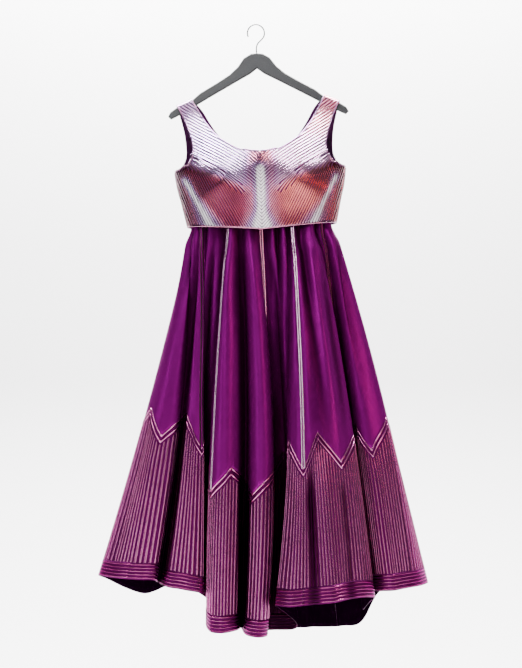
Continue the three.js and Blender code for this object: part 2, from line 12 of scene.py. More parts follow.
import bpy
import numpy as np
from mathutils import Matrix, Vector


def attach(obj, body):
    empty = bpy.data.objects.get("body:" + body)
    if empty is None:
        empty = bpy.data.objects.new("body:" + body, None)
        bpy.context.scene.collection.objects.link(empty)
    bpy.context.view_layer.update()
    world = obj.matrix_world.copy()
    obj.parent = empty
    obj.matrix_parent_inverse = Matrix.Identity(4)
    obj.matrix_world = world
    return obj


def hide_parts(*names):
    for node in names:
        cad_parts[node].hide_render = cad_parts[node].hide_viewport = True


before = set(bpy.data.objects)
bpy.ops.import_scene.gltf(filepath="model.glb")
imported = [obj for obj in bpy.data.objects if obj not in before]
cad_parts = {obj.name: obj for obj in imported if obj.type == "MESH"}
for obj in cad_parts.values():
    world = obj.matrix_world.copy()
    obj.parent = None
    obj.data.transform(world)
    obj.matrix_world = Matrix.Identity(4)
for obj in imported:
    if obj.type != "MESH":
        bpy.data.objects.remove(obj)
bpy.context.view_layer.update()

# %% [markdown]
# ## Camera
#
# The dress is seen straight from the front, at half its height. A camera with a long
# lens, three metres away, keeps the choli and the hem in natural proportion. It could
# also be orthographic, but then the deep folds of the skirt would lose their depth.

# %% Place the camera
VIEW_DISTANCE = 3.0
VIEW_HEIGHT = -0.716
VIEW_ACROSS = 0.0124
IMAGE_ROWS, METRES_A_ROW = 668, 0.00232
FRAME_TALL = IMAGE_ROWS * METRES_A_ROW

camera_data = bpy.data.cameras.new("studio_camera")
camera_data.sensor_fit = "VERTICAL"
camera_data.angle = 2 * math.atan(FRAME_TALL / 2 / VIEW_DISTANCE)
camera_data.clip_end = 30
camera = bpy.data.objects.new("studio_camera", camera_data)
camera.location = (VIEW_ACROSS, -VIEW_DISTANCE, VIEW_HEIGHT)
camera.rotation_euler = (math.radians(90), 0, 0)
bpy.context.scene.collection.objects.link(camera)
bpy.context.scene.camera = camera
print("lens:", round(camera_data.lens, 1), "mm")

# %% [markdown]
# ## Curves through short tables
#
# A hanging skirt is drawn by a few facts: where each fold crests and dips at the hem,
# and how the cloth swings on its way down. Each fact is a row of a table, and a smooth
# curve through the rows gives every point between. Sculpting would also do it, but a
# table can be read, checked and changed. Sizes are in millimetres until a mesh is made.

# %% A smooth curve through a table's rows
def curve_through(rows, period=0.0):
    """rows: key first, then values. Gives value(key) for arrays; a period closes the curve."""
    data = np.array(rows, dtype=float)
    if period:
        before = data[-2:] - np.eye(data.shape[1])[0] * period
        after = data[:2] + np.eye(data.shape[1])[0] * period
        data = np.vstack([before, data, after])
    key = data[:, 0]
    value = data[:, 1:]
    step = np.diff(key)[:, None]
    rise = np.diff(value, axis=0) / step
    slope = np.empty_like(value)
    slope[1:-1] = (rise[:-1] * step[1:] + rise[1:] * step[:-1]) / (step[1:] + step[:-1])
    slope[0] = rise[0]
    slope[-1] = rise[-1]
    low = rows[0][0]

    def at(t):
        t = np.asarray(t, dtype=float)
        if period:
            t = low + np.mod(t - low, period)
        i = np.clip(np.searchsorted(key, t, side="right") - 1, 0, len(key) - 2)
        span = step[i]
        k = ((t - key[i])[..., None]) / span
        start = (2 * k**3 - 3 * k**2 + 1) * value[i] + (k**3 - 2 * k**2 + k) * span * slope[i]
        end = (3 * k**2 - 2 * k**3) * value[i + 1] + (k**3 - k**2) * span * slope[i + 1]
        return start + end

    return at


def smooth(low, high, t):
    """0 before low, 1 after high, and a soft step between; low may be the larger."""
    k = np.clip((np.asarray(t, dtype=float) - low) / (high - low), 0, 1)
    return k * k * (3 - 2 * k)


def mix(a, b, t):
    return a + (b - a) * t


print("halfway up the soft step:", float(smooth(0, 2, 1)))

# %% [markdown]
# ## The skirt's fall
#
# Ten flared gores are gathered into a waistband and hang in deep tubes. A place on the
# cloth has two numbers: turn, which counts gores round from the centre back by the left
# side, and down, from 0 at the band to 1 at the hem. The hem table has one row for each
# crest and dip of the edge, so the tubes stand where the cloth really falls.

# %% The waist, the hem and the swing between them
GORES = 10
TILT = math.radians(1.8)
GATHER = 6
WAIST = dict(half_width=150, front=66, back=58, x=10, y=-6, z=-388, sag=48)
HEM = [
    # turn, x, y, z
    (0.3, 7, 125, -1415), (0.55, -48, 100, -1395), (0.8, -98, 120, -1360),
    (1.05, -153, 115, -1330), (1.25, -198, 90, -1315), (1.45, -243, 85, -1330),
    (1.6, -268, 110, -1340), (1.8, -313, 105, -1325), (2, -353, 60, -1295),
    (2.12, -366, 10, -1278), (2.3, -328, -50, -1272), (2.5, -266, -75, -1272),
    (2.63, -230, -62, -1277), (2.67, -224, -38, -1285), (2.73, -210, -60, -1287),
    (2.9, -163, -85, -1293), (3.05, -119, -78, -1303), (3.2, -126, -30, -1308),
    (3.4, -133, 20, -1320), (3.6, -110, 10, -1335), (3.8, -102, -50, -1350),
    (3.95, -110, -108, -1368), (4.08, -96, -148, -1373), (4.22, -68, -158, -1374),
    (4.36, -39, -120, -1375), (4.42, -32, -88, -1378), (4.47, -25, -122, -1382),
    (4.58, -2, -160, -1382), (4.7, 25, -132, -1386), (4.82, 22, -88, -1386),
    (5.05, 37, -60, -1389), (5.3, 90, -48, -1389), (5.5, 90, -80, -1365),
    (5.68, 52, -125, -1325), (5.76, 44, -150, -1315), (5.88, 70, -183, -1310),
    (6, 103, -200, -1305), (6.25, 162, -205, -1298), (6.5, 215, -180, -1294),
    (6.65, 248, -142, -1298), (6.78, 267, -98, -1309), (6.86, 259, -72, -1322),
    (6.94, 250, -42, -1342), (7.03, 249, -10, -1352), (7.12, 261, -14, -1332),
    (7.22, 268, -48, -1306), (7.36, 281, -90, -1295), (7.52, 307, -103, -1291),
    (7.7, 350, -75, -1290), (7.86, 384, -28, -1293), (7.98, 402, 20, -1296),
    (8.14, 382, 75, -1303), (8.34, 332, 105, -1315), (8.52, 290, 85, -1335),
    (8.7, 254, 70, -1395), (8.95, 207, 85, -1412), (9.2, 152, 100, -1418),
    (9.5, 112, 80, -1415), (9.78, 62, 105, -1420),
]
SWING = [
    # turn, sway to the right at mid length, border height share
    (0.5, 0, 1), (2.1, 9, 1.03), (2.5, 7, 1.03), (2.75, 18, 1.02), (3, 3, 1.02),
    (4, -10, 0.96), (4.25, 0, 0.94), (4.5, 14, 0.965), (4.75, 30, 0.98), (5, 8, 1.02),
    (5.25, 4, 1.06), (5.5, 2, 1), (5.76, 24, 0.95), (6, 12, 0.93), (6.25, 3, 0.965),
    (6.5, 11, 0.945), (7, 8, 0.97), (7.5, 9, 1), (7.75, 26, 1.02), (8, 8, 1.02), (9, 0, 1),
]
hem_at = curve_through(HEM, GORES)
swing_at = curve_through(SWING, GORES)


def oval_depth(angle):
    return np.where(np.cos(angle) > 0, WAIST["back"], WAIST["front"])


def oval(angle):
    return np.stack([-WAIST["half_width"] * np.sin(angle), oval_depth(angle) * np.cos(angle)], -1)


oval_angles = np.linspace(0, 2 * math.pi, 721)
oval_steps = np.linalg.norm(np.diff(oval(oval_angles), axis=0), axis=1)
oval_lengths = np.concatenate([[0], np.cumsum(oval_steps)])
print("waist round:", round(oval_lengths[-1]), "mm")


# %% A point of the skirt's cloth
def unit(vectors):
    """The same directions, each one unit long."""
    return vectors / np.maximum(np.linalg.norm(vectors, axis=-1, keepdims=True), 1e-9)


def waist_angle(turn):
    return np.interp(np.mod(turn, GORES) / GORES * oval_lengths[-1], oval_lengths, oval_angles)


def waist_point(turn):
    flat = oval(waist_angle(turn))
    sag = WAIST["sag"] * (1 - (flat[..., 0] / WAIST["half_width"]) ** 2)
    height = WAIST["z"] - sag + TILT * flat[..., 0]
    return np.stack([WAIST["x"] + flat[..., 0], WAIST["y"] + flat[..., 1], height], -1)


def waist_out(turn):
    angle = waist_angle(turn)
    side = WAIST["half_width"] * np.cos(angle)
    return unit(np.stack([-oval_depth(angle) * np.sin(angle), side, 0 * angle], -1))


def gather_height(turn, down):
    """Small gathers under the band, two to a gore and unevenly spaced."""
    uneven = 0.32 * np.sin(0.6 * math.pi * turn + 1.2) + 0.22 * np.sin(1.4 * math.pi * turn + 0.4)
    wave = np.sin(2 * math.pi * (2 * turn + uneven))
    return GATHER * wave * smooth(0, 0.07, down) * (1 - smooth(0.07, 0.36, down))


def fall(turn, down):
    """The cloth's broad form, the same as the solids'."""
    top = waist_point(turn)
    foot = hem_at(turn)
    out = down * (1 - 0.5 * (1 - smooth(0.085, 0.135, down)))
    swing = swing_at(turn)[..., 0] * 4 * down * (1 - down)
    point = np.stack([
        mix(top[..., 0], foot[..., 0], out) + swing,
        mix(top[..., 1], foot[..., 1], out),
        mix(top[..., 2], foot[..., 2], down),
    ], -1)
    return point + waist_out(turn) * gather_height(turn, down)[..., None]


def skirt_length(turn):
    return np.linalg.norm(waist_point(turn) - hem_at(turn), axis=-1)


print("front length:", round(float(skirt_length(np.array(5.0)))), "mm")

# %% [markdown]
# ## Creases
#
# Between the big tubes the satin holds soft ridges and troughs that start in the gathers
# and die out lower down. A simulation would make its own folds in its own places. Here
# each crease is one row: where it starts and ends round the skirt, how far it stands out
# or sinks in, how wide it is and how far down it runs.

# %% Ridges and troughs in the satin
CREASES = [
    # turn high up, turn low down, height, half width in turns, first down, last down
    (2.45, 2.30, -3.1, 0.10, 0.04, 0.95), (2.72, 2.55, 4, 0.06, 0.04, 0.62),
    (2.80, 2.66, -3.7, 0.05, 0.04, 0.60), (2.88, 2.76, 4, 0.05, 0.04, 0.70),
    (3.05, 2.92, -3.7, 0.06, 0.06, 0.55), (3.42, 3.30, 3.2, 0.07, 0.05, 0.50),
    (3.56, 3.52, -3.7, 0.06, 0.04, 0.62), (3.70, 3.70, 4, 0.07, 0.04, 0.66),
    (3.87, 3.95, -5.6, 0.07, 0.05, 0.80), (4.06, 4.13, 4, 0.07, 0.05, 0.62),
    (4.32, 4.36, -15, 0.11, 0.06, 0.98), (4.60, 4.63, 4.8, 0.09, 0.04, 0.70),
    (4.84, 4.84, -1.9, 0.06, 0.10, 0.60), (5.25, 5.13, 2.4, 0.06, 0.08, 0.62),
    (5.36, 5.28, -3.7, 0.07, 0.04, 0.60), (5.62, 5.46, 4, 0.06, 0.04, 0.66),
    (5.78, 5.64, -4.3, 0.07, 0.08, 0.64), (5.88, 5.80, 3.2, 0.05, 0.06, 0.56),
    (5.97, 5.93, -2.5, 0.04, 0.04, 0.50), (6.14, 6.10, 4, 0.07, 0.04, 0.66),
    (6.28, 6.38, -3.1, 0.06, 0.04, 0.72), (6.42, 6.50, 4, 0.06, 0.04, 0.66),
    (6.66, 6.62, -5, 0.08, 0.10, 0.80), (6.95, 7.02, -5.6, 0.09, 0.04, 0.90),
    (7.30, 7.44, 3.2, 0.06, 0.05, 0.62), (7.45, 7.57, -3.1, 0.05, 0.08, 0.60),
    (7.62, 7.68, 3.2, 0.06, 0.10, 0.66), (7.90, 7.86, -1.9, 0.06, 0.06, 0.50),
    (8.30, 8.42, -4.3, 0.09, 0.05, 0.80), (8.62, 8.58, 4, 0.07, 0.05, 0.60),
    (8.84, 8.92, -3.7, 0.08, 0.04, 0.70), (9.20, 9.12, 4, 0.07, 0.04, 0.58),
    (9.44, 9.52, -5, 0.09, 0.05, 0.86), (9.78, 9.70, 3.2, 0.06, 0.04, 0.62),
    (0.10, 0.02, -3.7, 0.08, 0.05, 0.74), (0.42, 0.50, 4, 0.07, 0.04, 0.60),
    (0.66, 0.60, -5, 0.09, 0.05, 0.84), (1.00, 1.08, 3.2, 0.06, 0.05, 0.60),
    (1.24, 1.20, -3.7, 0.08, 0.05, 0.72), (1.60, 1.70, 4, 0.07, 0.04, 0.58),
    (1.84, 1.90, -3.7, 0.08, 0.06, 0.70),
    # the seam by the front's middle stands clear of the tube beside it
    (5.02, 5.02, 17, 0.08, 0.20, 0.78), (4.76, 4.76, -17, 0.06, 0.20, 0.78),
]
BORDER_RIDGES = [
    # soft ridges that start in the border and run out at the hem: turn, height, half width, first down
    (2.27, -4, 0.05, 0.50), (2.45, 5, 0.06, 0.55), (2.61, -4, 0.04, 0.50), (2.80, 4, 0.05, 0.50),
    (3.00, -4, 0.05, 0.50), (4.08, 4, 0.05, 0.60), (4.27, -3, 0.05, 0.60), (4.63, 3, 0.05, 0.60),
    (5.90, 6, 0.06, 0.60), (6.10, -4, 0.06, 0.60), (6.28, 3, 0.06, 0.60), (6.50, -5, 0.09, 0.60),
    (7.25, -4, 0.05, 0.60), (7.51, 6, 0.06, 0.60), (7.70, -4, 0.06, 0.60), (8.25, 4, 0.06, 0.55),
    (8.70, -4, 0.06, 0.55), (9.30, 5, 0.07, 0.60), (9.70, -4, 0.05, 0.55), (0.30, 4, 0.06, 0.60),
    (0.85, -5, 0.07, 0.55), (1.35, 4, 0.06, 0.60), (1.72, -4, 0.05, 0.55),
]
PAST_HEM = 1.60
CREASES += [(turn, turn, high, wide, first, PAST_HEM) for turn, high, wide, first in BORDER_RIDGES]


def crease_height(turn, down):
    total = 0 * turn
    for high, low, height, width, first, last in CREASES:
        middle = mix(high, low, np.clip((down - 0.1) / 0.5, 0, 1.6))
        away = np.mod(turn - middle + GORES / 2, GORES) - GORES / 2
        if np.abs(away).min() > 3 * width:
            continue
        strength = smooth(first, first + 0.16, down) * smooth(last, mix(first, last, 0.45), down)
        total = total + height * strength * np.exp(-(away / width) ** 2)
    return total


def skirt(turn, down):
    return fall(turn, down) + waist_out(turn) * crease_height(turn, down)[..., None]


print("creases:", len(CREASES))

# %% [markdown]
# ## From points to cloth
#
# Each piece of cloth is a thin closed wall: an outer face, an inner face a millimetre or
# so behind it, and a rim that joins them. Blender's Solidify would do this too. Building
# it from a grid keeps every row where the sewing needs it, and lets the mesh remember
# how deep in a fold each point lies and how many millimetres of cloth run each way.

# %% Build a wall of cloth from a grid of points
def object_from(name, points, faces, uv=None, values=None):
    mesh = bpy.data.meshes.new(name)
    mesh.from_pydata((points / 1000).tolist(), [], faces)
    for face in mesh.polygons:
        face.use_smooth = True
    if uv is not None:
        layer = mesh.uv_layers.new(name="cloth")
        corners = np.empty(len(mesh.loops), dtype=np.int32)
        mesh.loops.foreach_get("vertex_index", corners)
        layer.data.foreach_set("uv", uv[corners].astype(np.float32).ravel())
    for label, value in (values or {}).items():
        attribute = mesh.attributes.new(label, "FLOAT", "POINT")
        attribute.data.foreach_set("value", np.asarray(value, dtype=np.float32).ravel())
    thing = bpy.data.objects.new(name, mesh)
    bpy.context.scene.collection.objects.link(thing)
    return thing


def grid_normals(grid):
    """Outward normals of a grid whose rows run down and whose columns run anticlockwise."""
    down = np.gradient(grid, axis=0)
    along = np.gradient(grid, axis=1)
    return unit(np.cross(down, along))


def grid_uv(grid):
    """Millimetres of cloth across and down, so that a weave keeps its scale."""
    across = np.linalg.norm(np.diff(grid, axis=1), axis=-1)
    down = np.linalg.norm(np.diff(grid, axis=0), axis=-1)
    u = np.concatenate([np.zeros((grid.shape[0], 1)), np.cumsum(across, axis=1)], axis=1)
    v = np.concatenate([np.zeros((1, grid.shape[1])), np.cumsum(down, axis=0)], axis=0)
    return np.stack([u - u[:, -1:] / 2, -v], -1)


def wall(name, grid, thick, lift=0.0, values=None):
    """A closed cloth: its outer face is the grid moved out by lift, its inner face is behind."""
    rows, columns = grid.shape[:2]
    normal = grid_normals(grid)
    outer = grid + normal * lift
    inner = outer - normal * thick
    points = np.concatenate([outer.reshape(-1, 3), inner.reshape(-1, 3)])
    number = np.arange(rows * columns).reshape(rows, columns)
    a, b = number[:-1, :-1].ravel(), number[:-1, 1:].ravel()
    c, d = number[1:, 1:].ravel(), number[1:, :-1].ravel()
    back = rows * columns
    faces = np.stack([a, d, c, b], 1).tolist() + (np.stack([a, b, c, d], 1) + back).tolist()
    edge = np.concatenate([number[0, :], number[1:, -1], number[-1, -2::-1], number[-2:0:-1, 0]])
    following = np.roll(edge, -1)
    faces += np.stack([edge, following, following + back, edge + back], 1).tolist()
    uv = grid_uv(grid).reshape(-1, 2)
    doubled = {k: np.tile(np.asarray(v).ravel(), 2) for k, v in (values or {}).items()}
    inside = np.concatenate([np.zeros(back), np.ones(back)])
    return object_from(name, points, faces, np.tile(uv, (2, 1)), {"inside": inside, **doubled})


print("a wall has an outer face, an inner face and a rim")


# %% Say what a piece stands for
def stand_for(piece, solid):
    """The piece hangs with the frame's one body, in the place of a solid."""
    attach(piece, "root")
    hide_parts(solid)


def sewn_on(piece):
    """Foil and bindings hang with the body too, and have no solid of their own."""
    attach(piece, "root")


print("solids to stand for:", len(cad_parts) - 2)

# %% [markdown]
# ## Foil strips
#
# Every foil line on this dress is a narrow flat ribbon sewn on the cloth: it has two
# turned edges and a slightly domed top. Painting stripes would be quicker, but real
# ribbons catch the light one by one and throw a thin shadow beside them, and that fine
# rhythm is the dress. All the ribbons of a panel are joined in one mesh.

# %% Lay ribbons on a cloth
DOME = [(0.12, 0.8), (0.5, 1.0), (0.88, 0.8)]  # shares of the width across, shares of the height up
ACROSS = len(DOME) + 2


def ribbons(name, strips, high=0.7, sunk=0.35, values=None, apart=10.0):
    """strips: (left edge, right edge, normal), n points each; values: label to n numbers a strip.

    The cloth map puts neighbours apart by so many mm, so that a crumple crosses from one to the next.
    """
    points, faces, uvs = [], [], []
    start = 0
    for rank, (left, right, normal) in enumerate(strips):
        count = len(left)
        width = np.linalg.norm(right - left, axis=1, keepdims=True)
        dome = normal * np.minimum(high, 0.45 * width)
        raised = [mix(left, right, share) + dome * up for share, up in DOME]
        section = [left - normal * sunk, *raised, right - normal * sunk]
        points.append(np.stack(section, 1).reshape(-1, 3))
        length = np.concatenate([[0], np.cumsum(np.linalg.norm(np.diff(left, axis=0), axis=1))])
        across = apart * (rank + np.linspace(0, 0.5, ACROSS))
        uvs.append(np.stack([np.tile(across, count), np.repeat(length[-1] - length, ACROSS)], 1))
        first = start + ACROSS * np.arange(count - 1)[:, None] + np.arange(ACROSS - 1)[None, :]
        first = first.ravel()
        faces += np.stack([first, first + ACROSS, first + ACROSS + 1, first + 1], 1).tolist()
        start += ACROSS * count
    spread_out = {k: np.repeat(np.concatenate(v), ACROSS) for k, v in (values or {}).items()}
    return object_from(name, np.concatenate(points), faces, np.concatenate(uvs), spread_out)


print("a ribbon has", ACROSS, "points across")


# %% Find a ribbon's place on a surface
def on_surface(surface, a, b, step=0.004):
    """The point and the outward normal of a surface at (a, b)."""
    along = surface(a + step, b) - surface(a - step, b)
    down = surface(a, b + step) - surface(a, b - step)
    return surface(a, b), unit(np.cross(down, along))


def strip_between(surface, left, right, lift):
    """A ribbon between two lines of (a, b) places on a surface, lifted off it."""
    left_point, left_normal = on_surface(surface, *left)
    right_point, right_normal = on_surface(surface, *right)
    normal = unit(left_normal + right_normal)
    return left_point + normal * lift, right_point + normal * lift, normal


def wound(near, far, normal):
    """A ribbon with its two edges in the order that makes its faces look along its normal."""
    turned = np.cross(np.gradient(near, axis=0), far - near)
    return (near, far, normal) if (turned * normal).sum() > 0 else (far, near, normal)


middle_normal = on_surface(skirt, np.full(2, 5.0), np.full(2, 0.5))[1][0]
print("the front's middle looks towards", np.round(middle_normal, 2).tolist())

# %% [markdown]
# ## The zigzag
#
# The foil border has two teeth to a gore: it drops to a valley on each seam and in the
# middle of the gore, and rises to a peak between them. Heights are measured up from the
# hem along the cloth, as a cutter would mark them.

# %% Heights of the border above the hem
VALLEY, PEAK, HEM_BAND = 318, 384, 38
SLANT = 0.62  # a line's width across the zigzag is this share of its height


def zigzag(turn):
    tooth = np.mod(2 * turn, 1)
    return mix(VALLEY, PEAK, 1 - np.abs(2 * tooth - 1)) * swing_at(turn)[..., 1]


def at_height(turn, height):
    """How far down the skirt a height above the hem lies."""
    return 1 - height / skirt_length(turn)


def turn_width(turn, down, step=0.06):
    """Millimetres of cloth that one turn takes at this place."""
    ahead = skirt(turn + step, down)
    behind = skirt(turn - step, down)
    return np.linalg.norm(ahead - behind, axis=-1) / (2 * step)


middle_widths = turn_width(np.arange(GORES) + 0.5, 0.64 + np.zeros(GORES))
print("gore widths at the zigzag:", np.round(middle_widths).tolist())

# %% [markdown]
# ## The ten gores
#
# Each gore is a long flared panel of heavy satin. Its foot is cut to the zigzag. The
# panels meet edge to edge at the seams, with a hair of room between them, and each one
# stands for its solid.

# %% Cut the satin gores
WALL = 1.4
SEAM_ROOM, ZIGZAG_ROOM, BAND_ROOM = 0.15, 0.3, 0.6
GORE_STEPS, SATIN_ROWS, BORDER_ROWS, HEM_ROWS = 48, 56, 30, 5
ASIDE = 0.13  # turns to each side that a hollow is measured against


def gore_turns(gore, down):
    """Turns across a gore, from seam to seam, a hair inside each."""
    share = np.linspace(0, 1, GORE_STEPS + 1)
    room = SEAM_ROOM / np.maximum(turn_width(gore + share, down + 0 * share), 40)
    return np.clip(gore + share, gore + room[0], gore + 1 - room[-1])


def skirt_grid(gore, top_height, foot_height, rows):
    """Points of a gore's cloth between two heights, each given as a function of turn."""
    turns = gore_turns(gore, 0.6)
    top = at_height(turns, top_height(turns))
    foot = at_height(turns, foot_height(turns))
    share = np.linspace(0, 1, rows + 1)[:, None]
    downs = mix(top[None, :], foot[None, :], share)
    around = np.broadcast_to(turns, downs.shape)
    return skirt(around, downs), around, downs


def painted_shade_of(around, downs):
    """1 where the cloth sinks into a trough, 0 on a crest, seen over a quarter gore, and raised just under
    the choli's hem for a painted shadow; the colour takes its painted shade from it.
    """
    here = skirt(around, downs)
    side = (skirt(around - ASIDE, downs) + skirt(around + ASIDE, downs)) / 2
    _, normal = on_surface(skirt, around, downs)
    sunk = ((side - here) * normal).sum(-1)
    # painted shadow of the choli's hem across the top of the skirt
    choli_hem_shadow = 0.7 * smooth(0.10, 0.02, downs)
    deepest = mix(15, 8, smooth(0.60, 0.72, downs))
    return np.clip(sunk / deepest + 0.28 + choli_hem_shadow, 0, 1)


def gore_cloth(name, gore, top_height, foot_height, rows, thick=WALL, lift=0.0):
    """A cloth between two heights of a gore, and its grid."""
    grid, around, downs = skirt_grid(gore, top_height, foot_height, rows)
    cloth = wall(f"{name}_{gore + 1:02d}", grid, thick, lift, {"painted_shade": painted_shade_of(around, downs)})
    return cloth, grid


satin_gores = []
for gore in range(GORES):
    cloth, grid = gore_cloth(
        "satin_gore", gore, lambda t: skirt_length(t) - BAND_ROOM, lambda t: zigzag(t) + ZIGZAG_ROOM,
        SATIN_ROWS)
    stand_for(cloth, f"skirt_gore_{gore + 1:02d}")
    satin_gores.append(cloth)
print("satin gores:", len(satin_gores), "points each:", len(satin_gores[0].data.vertices))

# %% Cut the border of each gore and its hem band
HEM_THICK, HEM_LIFT = 0.8, 0.95
border_cloths = []
hem_bands = []
for gore in range(GORES):
    cloth, grid = gore_cloth(
        "border_cloth", gore, lambda t: zigzag(t) - ZIGZAG_ROOM, lambda t: 0 * t, BORDER_ROWS)
    stand_for(cloth, f"border_{gore + 1:02d}")
    border_cloths.append(cloth)
    band, grid = gore_cloth(
        "hem_cloth", gore, lambda t: HEM_BAND + 0 * t, lambda t: 0 * t, HEM_ROWS, HEM_THICK, HEM_LIFT)
    stand_for(band, f"hem_band_{gore + 1:02d}")
    hem_bands.append(band)
print("borders:", len(border_cloths), "hem bands:", len(hem_bands))

# %% [markdown]
# ## Foil on the border
#
# Thirty-one ribbons fan down each gore from the zigzag to the hem band, each as wide as
# the satin beside it. Two more follow the zigzag, with a strip of satin between them,
# and five run round the hem band. The foil gets painted shade that darkens faster than
# the satin's as it sinks into a fold, so its shade value is steepened.

# %% Sew the border's ribbons
STRIPS_PER_GORE = 31
STRIP_SHARE = 0.5
STRIP_POINTS, STRIP_LIFT, STRIP_FOOT = 44, 0.45, 0.6
LINE_WIDE, LINE_APART, UNDER_LINES = 3.0, 8.6, 2.2
HEM_LINES = [4.2, 11.6, 19.0, 26.4, 33.8]
HEM_WIDE, HEM_LINE_LIFT, HEM_DARKER = 2.7, 1.0, 0.20
FOIL_FLAT_SHADE, FOIL_CONTRAST, FOIL_EVEN = 0.50, 2.6, 0.28


def fan_strips(gore):
    """Upright ribbons of one gore, and how deep in the folds they lie."""
    strips, painted_shades = [], []
    for k in range(STRIPS_PER_GORE):
        edges = []
        for side in (-0.5, 0.5):
            turn = np.full(STRIP_POINTS, gore + (k + 0.5 + side * STRIP_SHARE) / STRIPS_PER_GORE)
            top = zigzag(turn[0]) - (LINE_APART + LINE_WIDE + UNDER_LINES) / SLANT
            height = np.linspace(float(top), HEM_BAND + STRIP_FOOT, STRIP_POINTS)
            edges.append((turn, at_height(turn, height)))
        strips.append(strip_between(skirt, *edges, STRIP_LIFT))
        painted_shades.append(painted_shade_of(*edges[0]))
    return strips, painted_shades


def round_strip(gore, low, high, lift, steps=64):
    """A ribbon that runs round the skirt between two heights, and how deep in the folds it lies."""
    turn = np.linspace(gore, gore + 1, steps + 1)
    below = (turn, at_height(turn, low(turn)))
    above = (turn, at_height(turn, high(turn)))
    return strip_between(skirt, above, below, lift), painted_shade_of(*above)


strip_pieces = []
for gore in range(GORES):
    strips, painted_shades = fan_strips(gore)
    around_lines = []
    for middle in (0.0, LINE_APART):
        around_lines.append(round_strip(
            gore,
            lambda t: zigzag(t) - (middle + LINE_WIDE / 2) / SLANT,
            lambda t: zigzag(t) - (middle - LINE_WIDE / 2) / SLANT,
            STRIP_LIFT,
        ))
    for middle in HEM_LINES:
        strip, painted_shade = round_strip(
            gore, lambda t: middle - HEM_WIDE / 2 + 0 * t, lambda t: middle + HEM_WIDE / 2 + 0 * t,
            HEM_LINE_LIFT)
        around_lines.append((strip, painted_shade + HEM_DARKER))
    for strip, painted_shade in around_lines:
        strips.append(strip)
        painted_shades.append(painted_shade)
    # Painted fold shade for the foil, steeper than the satin's.
    foil_fold_shade = [np.clip(FOIL_FLAT_SHADE + FOIL_CONTRAST * (painted_shade - FOIL_EVEN), 0, 1) for painted_shade in painted_shades]
    piece = ribbons(f"border_foil_{gore + 1:02d}", strips, values={"painted_shade": foil_fold_shade})
    sewn_on(piece)
    strip_pieces.append(piece)
print("ribbons a gore:", len(strips), "faces a gore:", len(piece.data.polygons))

# %% [markdown]
# ## Seam tapes
#
# A doubled foil tape covers each seam of the satin: two bright lines with purple between.
# It is a strip of satin with a ribbon sewn near each edge.

# %% Lay a tape over each seam
TAPE_WIDE, TAPE_THICK, TAPE_LIFT = 9.0, 0.5, 0.75
TAPE_LINES = [(-4.3, -0.8), (0.8, 4.3)]
TAPE_FOIL_LIFT, TAPE_FOIL_HIGH = 0.8, 0.5
TAPE_FOOT = 1.2
SHADED_SEAMS = (3, 7)
PAINTED_SEAM_SHADE = 0.9


def seam_line(seam, across, rows=60):
    """Places on the skirt at a fixed distance beside a seam, from the band to the zigzag."""
    middle = np.full(rows, float(seam))
    foot = float(at_height(middle[0], zigzag(middle[0]) + TAPE_FOOT))
    down = np.linspace(0.001, foot, rows)
    width = np.maximum(turn_width(middle, down), 60)
    return middle + across / width, down


tape_cloths = []
tape_foils = []
for gore in range(GORES):
    edges = [seam_line(gore, across) for across in np.linspace(-TAPE_WIDE / 2, TAPE_WIDE / 2, 5)]
    grid = np.stack([skirt(turn, down) for turn, down in edges], 1)
    painted_shade = np.stack([painted_shade_of(turn, down) for turn, down in edges], 1)
    tape = wall(f"tape_cloth_{gore + 1:02d}", grid, TAPE_THICK, TAPE_LIFT, {"painted_shade": painted_shade})
    stand_for(tape, f"seam_tape_{gore + 1:02d}")
    tape_cloths.append(tape)
    strips = [
        strip_between(skirt, seam_line(gore, a), seam_line(gore, b), TAPE_FOIL_LIFT) for a, b in TAPE_LINES]
    # Seams 3 and 7 get painted shade on their foil, as if deep in a fold.
    seam_shade = PAINTED_SEAM_SHADE if gore in SHADED_SEAMS else 0
    depth = np.clip(0.5 * painted_shade[:, 2] - 0.12 + seam_shade, 0, 1)
    foil = ribbons(f"tape_foil_{gore + 1:02d}", strips, TAPE_FOIL_HIGH, values={"painted_shade": [depth, depth]})
    sewn_on(foil)
    tape_foils.append(foil)
print("tapes:", len(tape_cloths))

# %% [markdown]
# ## Waistband and hanging loops
#
# The gores are gathered into a folded band of the same satin, in two halves that meet at
# the sides. It hangs from two narrow tapes, sewn inside the band and laid over the
# hanger's arms, so the skirt's weight never pulls on the choli.

# %% Close the skirt with its band
BAND_TALL, BAND_THICK, BAND_ROWS = 30, 2.4, 7
UP = np.array([0.0, 0.0, 1.0])
waistbands = []
for label, first, last in (("front", 2.5, 7.5), ("back", 7.5, 12.5)):
    turns = np.linspace(first + 0.002, last - 0.002, 121)[None, :] + np.zeros((BAND_ROWS, 1))
    heights_up = np.linspace(BAND_TALL, 0, BAND_ROWS)[:, None]
    grid = waist_point(turns) + heights_up[..., None] * UP
    band = wall(f"waistband_cloth_{label}", grid, BAND_THICK, values={"painted_shade": 0.5 + 0 * turns})
    stand_for(band, f"waistband_{label}")
    waistbands.append(band)
print("waistbands:", len(waistbands))

# %% Hang it from its loops
LOOP_WIDE, LOOP_THICK, LOOP_TURN, LOOP_APART, LOOP_OUT = 10, 1.0, 1.85, 0.1, 161
LOOP_SEWN, LOOP_INSIDE = 6, 1.4
NECK_END, ARM_END = 154, 190  # where the strap starts and ends along the hanger's arm
ARM_FALL = (185.5 - 170) / (ARM_END - NECK_END)
ARM_AT_LOOP = -170 - ARM_FALL * (LOOP_OUT - NECK_END)
ARM_HALF, ARM_ROUND = 0.5, 5.0


def leaning(x, y, z):
    """A point given on the level hanger, turned as the hanger hangs."""
    across = x * math.cos(TILT) - z * math.sin(TILT)
    up = x * math.sin(TILT) + z * math.cos(TILT)
    return np.stack([across, y + 0 * across, up], -1)


